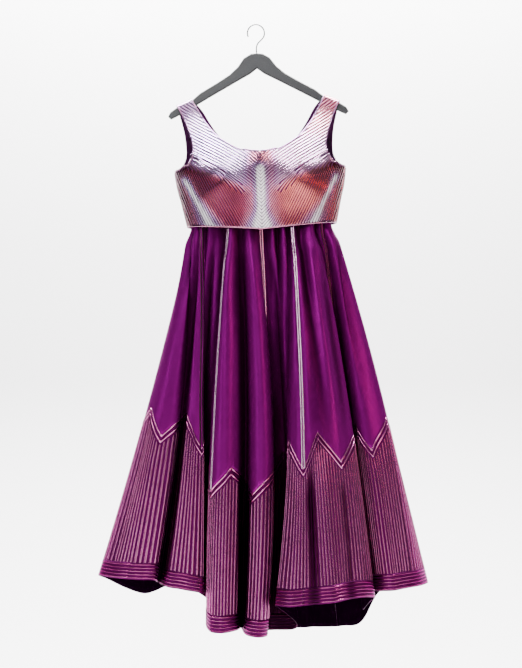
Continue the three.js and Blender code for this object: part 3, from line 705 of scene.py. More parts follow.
def strand(hand, side):
    """One side of a loop: points from inside the band up to the hanger's arm, and the width there."""
    turn = LOOP_TURN - side * LOOP_APART
    turn = np.array(turn if hand < 0 else GORES - turn)
    out = waist_out(turn)
    sewn = waist_point(turn) - out * (BAND_THICK + LOOP_INSIDE)
    wide = np.cross(out, UP)
    wide = wide * np.sign(wide[0])
    arm = leaning(hand * LOOP_OUT, side * (ARM_HALF + ARM_ROUND), ARM_AT_LOOP - 22)
    arm_wide = leaning(1, 0, -hand * ARM_FALL)
    share = np.linspace(0, 1, 25)[:, None]
    over_band = sewn + (BAND_TALL + 4) * UP
    points = np.concatenate([[sewn + LOOP_SEWN * UP], mix(over_band, arm, share)])
    widths = np.concatenate([[wide], mix(wide, arm_wide, share)])
    return points, widths


loops = []
for label, hand in (("left", -1), ("right", 1)):
    up_points, up_widths = strand(hand, -1)
    down_points, down_widths = strand(hand, 1)
    angle = np.linspace(0, math.pi, 17)
    over = leaning(
        hand * LOOP_OUT, -(ARM_HALF + ARM_ROUND) * np.cos(angle),
        ARM_AT_LOOP - 3.85 + ARM_ROUND * np.sin(angle))
    over_widths = np.tile(leaning(1, 0, -hand * ARM_FALL), (len(angle), 1))
    path = np.concatenate([up_points, over, down_points[::-1]])
    widths = np.concatenate([up_widths, over_widths, down_widths[::-1]])
    ahead = unit(np.gradient(path, axis=0))
    widths = unit(widths - ahead * (widths * ahead).sum(1, keepdims=True))
    sides = np.linspace(-LOOP_WIDE / 2, LOOP_WIDE / 2, 5)
    grid = path[:, None, :] + widths[:, None, :] * sides[None, :, None]
    loop = wall(f"loop_tape_{label}", grid, LOOP_THICK, lift=LOOP_THICK / 2)
    stand_for(loop, f"skirt_loop_{label}")
    loops.append(loop)
print("loops:", len(loops))

# %% [markdown]
# ## The choli
#
# The choli is a fitted, sleeveless blouse in four panels, moulded over the bust by its
# cut and lined with plain purple. Each panel is a grid that runs across from the centre
# (or the neckline) to the side (or the armhole), and down from the shoulder to the hem.

# %% The choli's outlines, from its own centre line
CHOLI_HEM, NECK, BACK_NECK, STRAP_BEND = -480, -305, -293, 11
STRAP_TOP, STRAP_END = -165, -180.5
SIDE = [(172, -465), (176, -447), (184, -410), (193, -373), (198, -338)]
NECKLINE = [(0, -305), (22, -304), (48, -297), (73, -282), (98, -260), (120, -230), (137, -199), (154, -165)]
BACK_NECKLINE = [
    (0, -293), (22, -292), (46, -285), (70, -270), (93, -248), (114, -219), (131, -191), (154, -165)]
ARMHOLE = [
    (198, -338), (180, -335), (165, -327), (155, -312), (152, -292), (157, -265), (167, -232), (178, -205),
    (190, -180.5)]
BACK_ARMHOLE = [
    (198, -338), (190, -328), (179, -312), (173, -295), (172, -275), (175, -240), (182, -208), (190, -180.5)]
BODY = [
    # height, half width, depth in front, depth behind
    (-480, 172, 84, 76), (-430, 182, 92, 78), (-380, 193, 98, 80), (-338, 200, 97, 80),
    (-300, 205, 88, 74), (-250, 209, 62, 54), (-205, 214, 26, 24), (-165, 220, 6, 6),
]
CUP = dict(x=87, z=-372, height=44, across=62, above=84, below=52)
ROUNDNESS = 2.3  # 2 would make the body's section an ellipse; more makes it boxier
ARMPIT = SIDE[-1][1]


def outline(rows):
    """A smooth outline whose rows are evenly spread from 0 to 1."""
    return curve_through([(k / (len(rows) - 1), *row) for k, row in enumerate(rows)])


body_at = curve_through(BODY)
neck_at = {True: outline(NECKLINE), False: outline(BACK_NECKLINE)}
arm_at = {True: outline(ARMHOLE), False: outline(BACK_ARMHOLE)}
side_at = outline(SIDE)
print("body half width at the bust:", float(body_at(-372)[0]))


# %% How far the choli stands out
def body_width(z):
    """Half the body's width; below the armhole it is the side seam's own line."""
    seam_x, seam_z = side_at(np.linspace(0, 1, 65)).T
    above = mix(seam_x[-1], body_at(z)[..., 0], smooth(seam_z[-1], NECK, z))
    return np.where(z < seam_z[-1], np.interp(z, seam_z, seam_x), above)


def section_share(share):
    """How deep the body's section still is, this share of the way out; it works both ways round."""
    return (1 - share**ROUNDNESS) ** (1 / ROUNDNESS)


def shoulder_height(x):
    return mix(STRAP_TOP, STRAP_END, (x - NECK_END) / (ARM_END - NECK_END))


def choli_depth(x, z, front):
    _, front_depth, back_depth = np.moveaxis(body_at(z), -1, 0)
    ring = section_share(np.minimum(np.abs(x) / body_width(z), 0.9999))
    up = z - CUP["z"]
    reach = ((x - CUP["x"]) / CUP["across"]) ** 2
    reach = reach + (up / np.where(up > 0, CUP["above"], CUP["below"])) ** 2
    chest = front_depth * ring + CUP["height"] * np.exp(-reach) if front else back_depth * ring
    bend = np.clip((shoulder_height(x) - z) / STRAP_BEND, 0, 1)
    over = np.sqrt(1 - (1 - bend) ** 2)
    return over * np.hypot(chest, STRAP_BEND * smooth(-260, -200, z))


def choli_point(x, z, front, right):
    """A point of the outer cloth, x out from the centre line; tilted as the hanger hangs."""
    depth = choli_depth(x, z, front)
    return leaning(x if right else -x, -depth if front else depth, z)


def choli_grid(front, right, columns=64, strap_rows=40, body_rows=44):
    """The points of one panel; its last column below the armhole is the side seam."""
    over_shoulder = [0, 0.002, 0.006, 0.012, 0.02, 0.032, 0.048]
    up = 1 - np.concatenate([over_shoulder, np.linspace(0.07, 1, strap_rows - 6)])
    strap_in, strap_out = neck_at[front](up), arm_at[front](up)
    low = np.linspace(0, 1, body_rows + 1)[1:]
    centre = np.stack([0 * low, mix(NECK if front else BACK_NECK, CHOLI_HEM, low)], -1)
    inner = np.concatenate([strap_in, centre])
    outer = np.concatenate([strap_out, side_at(1 - low)])
    share = 1 - (1 - np.linspace(0, 1, columns + 1)[None, :, None]) ** 1.35
    flat = mix(inner[:, None, :], outer[:, None, :], share)
    points = choli_point(flat[..., 0], flat[..., 1], front, right)
    points[-body_rows:, -1, 1] = -SEAM_ROOM if front else SEAM_ROOM
    return points if right == front else points[:, ::-1]


def panel_name(front, right):
    return f"{'front' if front else 'back'}_{'right' if right else 'left'}"


print("shoulder heights:", shoulder_height(NECK_END), shoulder_height(ARM_END))

# %% Cut the choli's panels and their lining
CHOLI_THICK, LINING_THICK, LINING_BEHIND = 1.2, 0.7, 1.5
choli_cloths, choli_linings = [], []
PANELS = [(front, right) for front in (True, False) for right in (False, True)]
for front, right in PANELS:
    label = panel_name(front, right)
    points = choli_grid(front, right)
    cloth = wall(f"choli_cloth_{label}", points, CHOLI_THICK)
    stand_for(cloth, f"choli_{label}")
    choli_cloths.append(cloth)
    lining = wall(f"choli_inside_{label}", points, LINING_THICK, lift=-LINING_BEHIND)
    stand_for(lining, f"choli_lining_{label}")
    choli_linings.append(lining)
print("choli panels:", len(choli_cloths), "linings:", len(choli_linings))

# %% [markdown]
# ## The choli's chevron of foil
#
# On each half the foil ribbons slant down to the centre line and meet there in a long
# chevron. They lie flatter over the strap and fall more steeply under the bust; beside
# the side seam they stand upright. The slant is worked out at each place of the panel,
# and a ribbon is a line that follows it. Neighbouring ribbons start a set distance
# apart, so a maker could sew them one after another.

# %% Follow the slant from the centre outwards
FOIL_PITCH = 5.5
FOIL_SHARE = 0.80
FLANK = 27.0  # the last stretch before the side seam, measured front to back, has upright ribbons
UPRIGHT_FIRST, UPRIGHT_PITCH, UPRIGHT_WIDE = 3.2, 4.4, 3.7
REACH = np.arange(0, 216.0, 1.0)


def slant(x, z):
    """Degrees below the level, towards the centre line; it steepens under the bust's ridge."""
    ridge = -381 + 0.5 * (x - 58)
    lower = smooth(ridge + 25, ridge - 25, z)
    upper_angle = 45 - 12 * smooth(0, 50, x)
    lower_angle = 45 + 16 * smooth(0, 45, x) + 9 * smooth(90, 165, x)
    return mix(upper_angle, lower_angle, lower)


starts = np.arange(-1400, -240, 1.0)
heights = np.empty((len(starts), len(REACH)))
heights[:, 0] = starts
for k in range(1, len(REACH)):
    rise = np.tan(np.radians(slant(REACH[k - 1], heights[:, k - 1])))
    heights[:, k] = heights[:, k - 1] + rise
spread = np.gradient(heights, starts, axis=0) * np.cos(np.radians(slant(REACH[None, :], heights)))
entry = np.argmax(heights > CHOLI_HEM, axis=1)
entry_spread = spread[np.arange(len(starts)), entry]
print("a line from the hem's middle climbs", round(float(heights[600, -1] - heights[600, 0])), "mm")


# %% Know where the panel is
def panel_top(x, front):
    """The height of the neckline, and of the shoulder beyond it."""
    neck = neck_at[front](np.linspace(0, 1, 200))
    return np.where(x < NECK_END, np.interp(x, neck[:, 0], neck[:, 1]), shoulder_height(x))


def panel_reach(z, front):
    """How far out the armhole or the side seam lies at a height."""
    armhole = arm_at[front](np.linspace(0, 1, 400))
    side = side_at(np.linspace(0, 1, 60))
    above = np.interp(z, armhole[:, 1], armhole[:, 0])
    beside = np.interp(z, side[:, 1], side[:, 0])
    return np.where(z < ARMPIT, beside, above)


def panel_foot(x):
    """The height of the hem, which rises a little towards the side."""
    return mix(CHOLI_HEM, SIDE[0][1], x / SIDE[0][0])


def flank_x(z, front, depth):
    """How far out the panel is where it stands this deep in front of or behind the side seam."""
    whole = body_at(z)[..., 1 if front else 2]
    return body_width(z) * section_share(np.minimum(depth / whole, 1))


def chevron_reach(z, front):
    """The chevron ends where the flank's upright ribbons begin."""
    return np.where(z < ARMPIT, flank_x(z, front, FLANK), panel_reach(z, front))


def inside_panel(x, z, front):
    return (z < panel_top(x, front)) & (z > panel_foot(x)) & (x < chevron_reach(z, front))


print("reach at the bust:", panel_reach(np.array([-372.0]), True).tolist())


# %% Colour the foil by its place
def cup_shade(x, z):
    """1 in the middle of the shade under the bust."""
    return np.exp(-((x - 84) / 34) ** 2 - ((z + 416) / 34) ** 2)


def painted_foil_sheen(x, z, normal):
    """Painted light, 0 for deep rose shade to 1 for a silver highlight: painted highlights above the bust,
    on the darts and on the centre fold, painted shade under the bust, and lighter where the ribbon faces up.
    """
    ridge = -376 + 0.42 * (x - 58) + 8 * smooth(110, 175, x)
    above = smooth(ridge - 14, ridge + 12, z) * smooth(10, 46, x)
    dart = 178 + (z + 345) * 0.52
    on_dart = np.exp(-((x - dart) / mix(29, 11, smooth(-478, -380, z))) ** 2) * smooth(-336, -362, z)
    on_fold = np.exp(-(x / mix(34, 15, smooth(-478, -425, z))) ** 2) * smooth(-318, -345, z)
    towards_fold = 0.16 * smooth(72, 22, x) * (1 - above)
    sheen = 0.17 + 0.52 * above + towards_fold + 0.82 * np.maximum(on_dart, on_fold)
    sheen = sheen - 0.10 * smooth(150, 185, x) * (1 - on_dart)
    sheen = sheen - 0.12 * cup_shade(x, z)
    return np.clip(sheen + 0.12 * normal[:, 2], 0, 1)


def warm_reflection_share(x, z, right):
    """Painted warm reflection: on the wearer's left the foil is tinted copper, most under the bust and on
    the strap, less in the painted shade under the bust.
    """
    under_bust = smooth(30, 75, x) * smooth(168, 140, x) * smooth(-352, -384, z)
    under_bust = under_bust * (1 - 0.8 * smooth(-420, -450, z)) * (1 - 0.75 * cup_shade(x, z))
    strap = smooth(-285, -225, z)
    return (0.18 + 0.55 * under_bust + 0.35 * strap) * (1.0 if right else 0.12)


print("copper under the right bust:", round(float(warm_reflection_share(120, -400, True)), 2))


# %% Cut the ribbons to the panel and sew them on
def read_heights(start, reach_index):
    """The height of the line with this start, read at each reach."""
    place = np.clip(start - starts[0], 0, len(starts) - 1.001)
    low = place.astype(int)
    share = place - low
    return heights[low, reach_index] * (1 - share) + heights[low + 1, reach_index] * share


def foil_lines(start, rank):
    """The two edges of a ribbon. Where lines crowd together only every second one goes on."""
    at = int(start - starts[0])
    crowding = spread[at] / entry_spread[at]
    kept = 2.0 ** np.ceil(np.log2(np.maximum(0.62 / np.maximum(crowding, 0.02), 1)))
    wide = FOIL_PITCH * FOIL_SHARE * np.minimum(crowding * kept, 1.25)
    wide = np.convolve(np.pad(wide, 6, mode="edge"), np.ones(13) / 13, mode="valid")
    half = wide / 2 / np.maximum(spread[at], 0.02)
    index = np.arange(len(REACH))
    goes_on = (rank % kept.astype(int)) == 0
    return read_heights(start + half, index), read_heights(start - half, index), goes_on


def chevron(front, right):
    strips, sheens, coppers = [], [], []
    start, rank = -262.0, 0
    while start > starts[0] + 30:
        at = int(start - starts[0])
        high, low, goes_on = foil_lines(start, rank)
        middle = (high + low) / 2
        inside = inside_panel(REACH, middle, front) & goes_on
        edges = np.flatnonzero(np.diff(np.concatenate([[0], inside.astype(int), [0]])))
        for first, last in zip(edges[::2], edges[1::2]):
            if last - first < 4:
                continue
            pick = np.unique(np.concatenate([
                np.arange(first, last, 3), np.arange(max(last - 12, first), last)]))
            x = np.maximum(REACH[pick], 0.3)
            edge_x = float(chevron_reach(middle[last - 1], front))
            if edge_x - x[-1] < 1.6:
                x = np.concatenate([x[:-1], edge_x - np.array([0.9, 0.6, 0.35, 0.15, 0.0])])
            top = panel_top(x, front) - 0.6
            lines = [np.interp(x, REACH, edge) for edge in (high, low)]
            lines = [np.clip(edge, panel_foot(x) + 0.6, top) for edge in lines]
            upper, lower = [choli_point(x, z, front, right) for z in lines]
            below = choli_point(x, lines[0] - 1.0, front, right) - upper
            normal = unit(np.cross(below, np.gradient(upper, axis=0)))
            normal = normal * np.where((normal[:, 1:2] > 0) == front, -1, 1)
            strips.append((lower, upper, normal) if right == front else (upper, lower, normal))
            # Each ribbon keeps its painted light and its painted warm reflection.
            sheen = painted_foil_sheen(x, lines[0], normal)
            sheens.append(sheen)
            coppers.append(warm_reflection_share(x, lines[0], right) * (1 - 0.8 * smooth(0.78, 0.95, sheen)))
        start -= FOIL_PITCH / max(entry_spread[at], 0.1)
        rank += 1
    z = np.linspace(SIDE[0][1] + 0.8, ARMPIT - 0.8, 50)
    for depth in np.arange(UPRIGHT_FIRST, FLANK - 1, UPRIGHT_PITCH):
        edges = (depth, depth + UPRIGHT_WIDE)
        near, far = [choli_point(flank_x(z, front, edge), z, front, right) for edge in edges]
        normal = unit(np.cross(np.gradient(near, axis=0), far - near))
        outward = normal * (1 if (normal[len(z) // 2, 0] > 0) == right else -1)
        strips.append(wound(near, far, outward))
        # Painted light: the upright ribbons are lighter towards the armpit, and get a painted warm
        # reflection on the wearer's left.
        sheens.append(0.30 + 0.15 * smooth(-400, -345, z))
        coppers.append(0 * z + (0.3 if right else 0.05))
    return strips, {"sheen": sheens, "copper": coppers}


choli_foils = []
for front, right in PANELS:
    label = panel_name(front, right)
    strips, tints = chevron(front, right)
    foil_piece = ribbons(f"choli_foil_{label}", strips, 0.8, values=tints, apart=6.0)
    sewn_on(foil_piece)
    choli_foils.append(foil_piece)
    print(label, "ribbons:", len(strips))

# %% [markdown]
# ## Bound edges
#
# The neck, the armholes and the choli's hem are bound with a narrow fold of the same
# foil cloth, which covers the cut ends of the ribbons. Each binding is a ribbon laid
# on the outside along the edge line, over the ribbons' ends.

# %% Bind the choli's edges
BINDING, BINDING_HIGH = 3.2, 0.7


def edge_strip(x, z, inward, front, right, lift=0.5):
    """A ribbon along the edge (x, z), as wide as the binding, on the side that inward points to."""
    inner_x = np.maximum(x + inward[:, 0] * BINDING, 0.2)
    inner_z = z + inward[:, 1] * BINDING
    edge = choli_point(x, z, front, right)
    inner = choli_point(inner_x, inner_z, front, right)
    normal = unit(np.cross(np.gradient(edge, axis=0), inner - edge))
    facing = normal[:, 1] * (-1 if front else 1)
    normal = normal * np.sign(np.where(np.abs(facing) > 0.05, facing, 1))[:, None]
    return wound(edge + normal * lift, inner + normal * lift, normal)


def inward_of(x, z, centre):
    """The direction at right angles to an outline, towards a point inside the panel."""
    line = np.stack([np.gradient(x), np.gradient(z)], -1)
    side = unit(np.stack([-line[:, 1], line[:, 0]], -1))
    towards = np.array(centre) - np.stack([x, z], -1)
    return side * np.sign((side * towards).sum(-1, keepdims=True))


bindings = []
for front, right in PANELS:
    neck_x, neck_z = neck_at[front](np.linspace(0.01, 0.985, 60)).T
    arm_x, arm_z = arm_at[front](np.linspace(0.01, 0.985, 60)).T
    hem_x = np.linspace(0.3, SIDE[0][0] - 0.5, 50)
    strips = [
        edge_strip(neck_x, neck_z, inward_of(neck_x, neck_z, (172, -260)), front, right),
        edge_strip(arm_x, arm_z, inward_of(arm_x, arm_z, (120, -300)), front, right),
        edge_strip(hem_x, panel_foot(hem_x), np.tile([0.0, 1.0], (50, 1)), front, right),
    ]
    # Painted light: the bindings are lighter where they face up.
    sheens = [0.45 + 0.2 * normal[:, 2] for *_, normal in strips]
    binding = ribbons(
        f"choli_binding_{panel_name(front, right)}", strips, BINDING_HIGH, 0.9, {"sheen": sheens})
    sewn_on(binding)
    bindings.append(binding)
print("edge bindings:", len(bindings))

# %% [markdown]
# ## Side seams
#
# Front and back meet at the side in an upright seam. It is closed with a foil binding
# that lies over both edges, so that no cut end of cloth or ribbon shows. The binding
# follows the side line, a little further out than the cloth.

# %% Bind the side seams
SEAM_HALF, SEAM_OUT, SEAM_POINTS = 3.4, 0.9, 60
seam_x, seam_z = side_at(np.linspace(0, 1, SEAM_POINTS)).T
for label, hand in (("left", -1), ("right", 1)):
    x = hand * (seam_x + SEAM_OUT)
    edges = [leaning(x, depth, seam_z) for depth in (-SEAM_HALF, SEAM_HALF)]
    outward = np.tile(leaning(hand, 0, 0), (SEAM_POINTS, 1))
    tint = {"sheen": [0 * x + 0.55], "copper": [0 * x + 0.2]}
    piping = ribbons(f"side_seam_binding_{label}", [wound(*edges, outward)], BINDING_HIGH, 1.4, tint)
    sewn_on(piping)
    bindings.append(piping)
print("bindings:", len(bindings))

# %% [markdown]
# ## Trimmings
#
# A dressmaker works from flat pieces. No cloth here was stretched on the way. Each cloth
# keeps a list of what is sewn on it: the border and the tapes their foil, and each choli
# panel its foil and its bound edges.

# %% List what each cloth carries
carried = {}
for cloths, trimmings in (
        (border_cloths, strip_pieces), (tape_cloths, tape_foils), (choli_cloths, choli_foils)):
    for cloth, trimming in zip(cloths, trimmings):
        carried[cloth.name] = [trimming]
for cloth, binding in zip(choli_cloths, bindings):
    carried[cloth.name].append(binding)

# %% [markdown]
# ## Floor and light
#
# The dress hangs in a plain pale studio. The floor lies well below the hem and sweeps up
# behind in one curve, so that no line crosses the dress. Large soft lamps give broad
# highlights on satin, and the foil needs bright sides to reflect.

# %% Sweep the floor up into a wall
FLOOR_Z, WALL_Y, BEND = -1.78, 1.5, 0.9
FLOOR_FRONT, WALL_TOP, HALF_WIDE = -2.4, 4.0, 1.7
profile = [(FLOOR_FRONT, FLOOR_Z)]
for angle in np.linspace(0, math.pi / 2, 13):
    profile.append((WALL_Y - BEND + BEND * math.sin(angle), FLOOR_Z + BEND * (1 - math.cos(angle))))
profile.append((WALL_Y, WALL_TOP))
sweep_points = 1000 * np.array([(x, y, z) for x in (-HALF_WIDE, HALF_WIDE) for y, z in profile])
count = len(profile)
sweep_faces = [(k, k + count, k + count + 1, k + 1) for k in range(count - 1)]
sweep = object_from("studio_sweep", sweep_points, sweep_faces)
print("floor at", FLOOR_Z)

# %% [markdown]
# ## Materials
#
# Satin, foil and lining share their weave and their gentle change of colour, so those are
# node groups with named inputs, placed in each material with its own values.

# %% Small helpers for node trees
def new_group(name, inputs, outputs):
    """A shader node group. inputs: (name, kind, default); outputs: (name, kind)."""
    group = bpy.data.node_groups.new(name, "ShaderNodeTree")
    for label, kind, default in inputs:
        socket = group.interface.new_socket(label, in_out="INPUT", socket_type=f"NodeSocket{kind}")
        socket.default_value = default
    for label, kind in outputs:
        group.interface.new_socket(label, in_out="OUTPUT", socket_type=f"NodeSocket{kind}")
    start = group.nodes.new("NodeGroupInput")
    end = group.nodes.new("NodeGroupOutput")
    return group, start, end


def node(tree, kind, values=None, **settings):
    made = tree.nodes.new(kind)
    for label, value in settings.items():
        setattr(made, label, value)
    for label, value in (values or {}).items():
        made.inputs[label].default_value = value
    return made


def join(tree, *links):
    """links: (node, output, node, input), by socket name or number."""
    for source, output, target, entry in links:
        tree.links.new(source.outputs[output], target.inputs[entry])


def ramp(tree, stops):
    """A colour ramp through (place, (r, g, b)) stops."""
    made = tree.nodes.new("ShaderNodeValToRGB")
    band = made.color_ramp
    while len(band.elements) < len(stops):
        band.elements.new(0.5)
    for element, (place, color) in zip(band.elements, stops):
        element.position = place
        element.color = (*color, 1)
    return made


def material(name, **sockets):
    made = bpy.data.materials.new(name)
    made.use_nodes = True
    shader = made.node_tree.nodes["Principled BSDF"]
    for label, value in sockets.items():
        shader.inputs[label.replace("_", " ")].default_value = value
    return made, made.node_tree, shader


print("node helpers ready")

# %% [markdown]
# ### Satin
#
# Satin floats its threads on top of the cloth, so it shines in its own colour and goes
# almost black in the folds. A partly metallic shader tints the highlight magenta, as the
# dyed threads do, and the depth of the fold, kept by each mesh, darkens the colour with
# painted shade. The bump carries fine threads along the gore and the soft crumple of a heavy cloth.

# %% Threads and crumple, used by every cloth
weave, start, end = new_group(
    "Cloth weave",
    [("Thread depth", "Float", 0.3), ("Crumple depth", "Float", 0.3), ("Crumple size", "Float", 40.0)],
    [("Height", "Float"), ("Tone", "Float")],
)
place = node(weave, "ShaderNodeUVMap", uv_map="cloth")
along = node(weave, "ShaderNodeVectorMath", operation="MULTIPLY")
along.inputs[1].default_value = (1.4, 0.05, 1.0)
threads = node(weave, "ShaderNodeTexNoise", {"Scale": 1.0, "Detail": 2.0, "Roughness": 0.5})
size = node(weave, "ShaderNodeMath", operation="DIVIDE")
size.inputs[0].default_value = 1.0
crumple = node(weave, "ShaderNodeTexNoise", {"Detail": 3.0, "Roughness": 0.55, "Distortion": 0.6})
thread_part = node(weave, "ShaderNodeMath", operation="MULTIPLY")
height = node(weave, "ShaderNodeMath", operation="MULTIPLY_ADD")
join(
    weave,
    (place, "UV", along, 0), (along, "Vector", threads, "Vector"), (place, "UV", crumple, "Vector"),
    (start, "Crumple size", size, 1), (size, "Value", crumple, "Scale"),
    (threads, "Fac", thread_part, 0), (start, "Thread depth", thread_part, 1),
    (crumple, "Fac", height, 0), (start, "Crumple depth", height, 1), (thread_part, "Value", height, 2),
    (height, "Value", end, "Height"), (crumple, "Fac", end, "Tone"),
)
print("weave group sockets:", len(weave.interface.items_tree))


# %% Paint shade into the folds, used by satin and border foil
fold_shade_group, start, end = new_group(
    "Painted fold shade",
    [("Hollow", "Float", 0.3), ("Tone", "Float", 0.5), ("Inside", "Float", 0.0),
     ("Crest", "Color", (0.3, 0, 0.2, 1)), ("Slope", "Color", (0.2, 0, 0.1, 1)),
     ("Trough", "Color", (0.02, 0, 0.01, 1)), ("Inside shade", "Color", (0.02, 0, 0.02, 1))],
    [("Color", "Color")],
)
shift = node(fold_shade_group, "ShaderNodeMath", {1: 0.22}, operation="MULTIPLY")
depth = node(fold_shade_group, "ShaderNodeMath", operation="ADD")
upper = node(fold_shade_group, "ShaderNodeMapRange", {"From Min": 0.1, "From Max": 0.45})
lower = node(fold_shade_group, "ShaderNodeMapRange", {"From Min": 0.42, "From Max": 0.85})
to_slope = node(fold_shade_group, "ShaderNodeMix", data_type="RGBA")
to_trough = node(fold_shade_group, "ShaderNodeMix", data_type="RGBA")
to_inside = node(fold_shade_group, "ShaderNodeMix", data_type="RGBA")
join(
    fold_shade_group,
    (start, "Tone", shift, 0), (start, "Hollow", depth, 0), (shift, "Value", depth, 1),
    (depth, "Value", upper, "Value"), (depth, "Value", lower, "Value"),
    (upper, "Result", to_slope, 0), (start, "Crest", to_slope, 6), (start, "Slope", to_slope, 7),
    (lower, "Result", to_trough, 0), (to_slope, 2, to_trough, 6), (start, "Trough", to_trough, 7),
    (start, "Inside", to_inside, 0), (to_trough, 2, to_inside, 6), (start, "Inside shade", to_inside, 7),
    (to_inside, 2, end, "Color"),
)
print("fold tone group sockets:", len(fold_shade_group.interface.items_tree))


# %% Satin
# Lit and shaded copies of the satin's colour, picked by the painted fold shade.
SATIN_CREST = (0.15, 0.0, 0.118, 1)
SATIN_SLOPE = (0.065, 0.0, 0.05, 1)
SATIN_TROUGH = (0.018, 0.0, 0.012, 1)
# The inner face of the cloth is painted near black as shade, and made dull.
INSIDE_SHADE = (0.003, 0.0001, 0.003, 1)
DULL_INSIDE = {"Metallic": 0.0, "Roughness": 0.9, "Specular IOR Level": 0.0}


def folded_cloth(name, weave_values, shade_colors, **sockets):
    """A cloth whose colour takes painted shade in the folds, with the weave in its bump and a dull inside
    painted near black as shade.
    """
    made, tree, shader = material(name, **sockets)
    painted_shade = node(tree, "ShaderNodeAttribute", attribute_name="painted_shade")
    inside = node(tree, "ShaderNodeAttribute", attribute_name="inside")
    cloth = node(tree, "ShaderNodeGroup", weave_values, node_tree=weave)
    shade_node = node(tree, "ShaderNodeGroup", shade_colors, node_tree=fold_shade_group)
    bump = node(tree, "ShaderNodeBump", {"Strength": 0.5, "Distance": 0.002})
    for socket, dull in DULL_INSIDE.items():
        outside = sockets[socket.replace(" ", "_")]
        fade = node(tree, "ShaderNodeMapRange", {"To Min": outside, "To Max": dull})
        join(tree, (inside, "Fac", fade, "Value"), (fade, "Result", shader, socket))
    join(
        tree,
        (painted_shade, "Fac", shade_node, "Hollow"), (inside, "Fac", shade_node, "Inside"), (cloth, "Tone", shade_node, "Tone"),
        (shade_node, "Color", shader, "Base Color"),
        (cloth, "Height", bump, "Height"), (bump, "Normal", shader, "Normal"),
    )
    return made


satin = folded_cloth(
    "magenta_satin",
    {"Thread depth": 0.10, "Crumple depth": 1.2, "Crumple size": 34.0},
    {"Crest": SATIN_CREST, "Slope": SATIN_SLOPE, "Trough": SATIN_TROUGH, "Inside shade": INSIDE_SHADE},
    Roughness=0.36, Metallic=0.6, Specular_IOR_Level=0.1, Specular_Tint=(0.5, 0.01, 0.4, 1),
)
# The border's satin also goes from a lit crest to a shaded trough by painted fold shade.
border_satin = folded_cloth(
    "border_satin",
    {"Thread depth": 0.10, "Crumple depth": 0.8, "Crumple size": 30.0},
    {"Crest": (0.070, 0.001, 0.050, 1), "Slope": (0.020, 0.0003, 0.014, 1),
     "Trough": (0.004, 0.0, 0.003, 1), "Inside shade": INSIDE_SHADE},
    Roughness=0.42, Metallic=0.5, Specular_IOR_Level=0.1, Specular_Tint=(0.6, 0.05, 0.5, 1),
)
print("satins ready")

# %% [markdown]
# ### Foil
#
# Foil cloth is a thin metal film on a woven base. It shines like metal, in soft rose.
# On the border the ribbons dip in and out of the folds with the satin and take painted
# shade there. On the choli the colour carries painted light: painted highlights above the
# bust, on the darts and on the centre fold, painted shade under the bust, deep rose elsewhere,
# and a painted warm reflection in copper on the wearer's left, so the colour there follows
# the sheen and copper values that each ribbon keeps.

# %% Foil for the border, the tapes and the choli
# Crest, slope and trough are lit and shaded copies of each foil colour, picked by the painted fold shade.
border_foil = folded_cloth(
    "border_foil",
    {"Thread depth": 0.004, "Crumple depth": 0.5, "Crumple size": 45.0},
    {"Crest": (0.57, 0.17, 0.36, 1), "Slope": (0.12, 0.010, 0.06, 1), "Trough": (0.016, 0.002, 0.008, 1),
     "Inside shade": INSIDE_SHADE},
    Roughness=0.22, Metallic=1.0, Specular_IOR_Level=0.5, Specular_Tint=(0.9, 0.35, 0.7, 1),
)
tape_foil = folded_cloth(
    "tape_foil",
    {"Thread depth": 0.015, "Crumple depth": 0.3, "Crumple size": 30.0},
    {"Crest": (0.98, 0.66, 0.84, 1), "Slope": (0.62, 0.26, 0.42, 1), "Trough": (0.10, 0.03, 0.06, 1),
     "Inside shade": INSIDE_SHADE},
    Roughness=0.26, Metallic=1.0, Specular_IOR_Level=0.5,
)
choli_foil, tree, shader = material("choli_foil", Roughness=0.27, Metallic=1.0)
sheen = node(tree, "ShaderNodeAttribute", attribute_name="sheen")
crease = node(tree, "ShaderNodeGroup", {"Thread depth": 0.03, "Crumple depth": 0.30}, node_tree=weave)
crease.inputs["Crumple size"].default_value = 16.0
copper = node(tree, "ShaderNodeAttribute", attribute_name="copper")
# The copper colour is a painted warm reflection, mixed in by the copper value.
tinted = node(tree, "ShaderNodeMix", data_type="RGBA")
tinted.inputs[7].default_value = (0.72, 0.17, 0.13, 1)
shift = node(tree, "ShaderNodeMath", {1: 0.12, 2: -0.06}, operation="MULTIPLY_ADD")
total = node(tree, "ShaderNodeMath", operation="ADD")
# The ramp runs from painted shade, deep plum, to a painted highlight, near white.
tones = ramp(tree, [
    (0.05, (0.07, 0.008, 0.024)), (0.20, (0.15, 0.022, 0.046)), (0.40, (0.38, 0.14, 0.22)),
    (0.60, (0.34, 0.20, 0.40)), (0.76, (0.44, 0.32, 0.52)), (0.95, (0.97, 0.93, 0.97)),
])
# Where the painted highlight is brightest the foil is made less metallic, so that it shows whiter.
highlight_metallic = node(tree, "ShaderNodeMapRange", {
    "From Min": 0.80, "From Max": 1.0, "To Min": 1.0, "To Max": 0.35})
bump = node(tree, "ShaderNodeBump", {"Strength": 0.35, "Distance": 0.0015})
join(
    tree,
    (total, "Value", highlight_metallic, "Value"), (highlight_metallic, "Result", shader, "Metallic"),
    (sheen, "Fac", total, 0), (crease, "Tone", shift, 0), (shift, "Value", total, 1),
    (total, "Value", tones, "Fac"), (tones, "Color", tinted, 6), (copper, "Fac", tinted, 0),
    (tinted, 2, shader, "Base Color"),
    (crease, "Height", bump, "Height"), (bump, "Normal", shader, "Normal"),
)
print("foils ready")

# %% [markdown]
# ### Lining, hanger and hook
#
# The lining is a plain dull cotton. The hanger is moulded plastic with a faint grain,
# and the hook is steel wire.

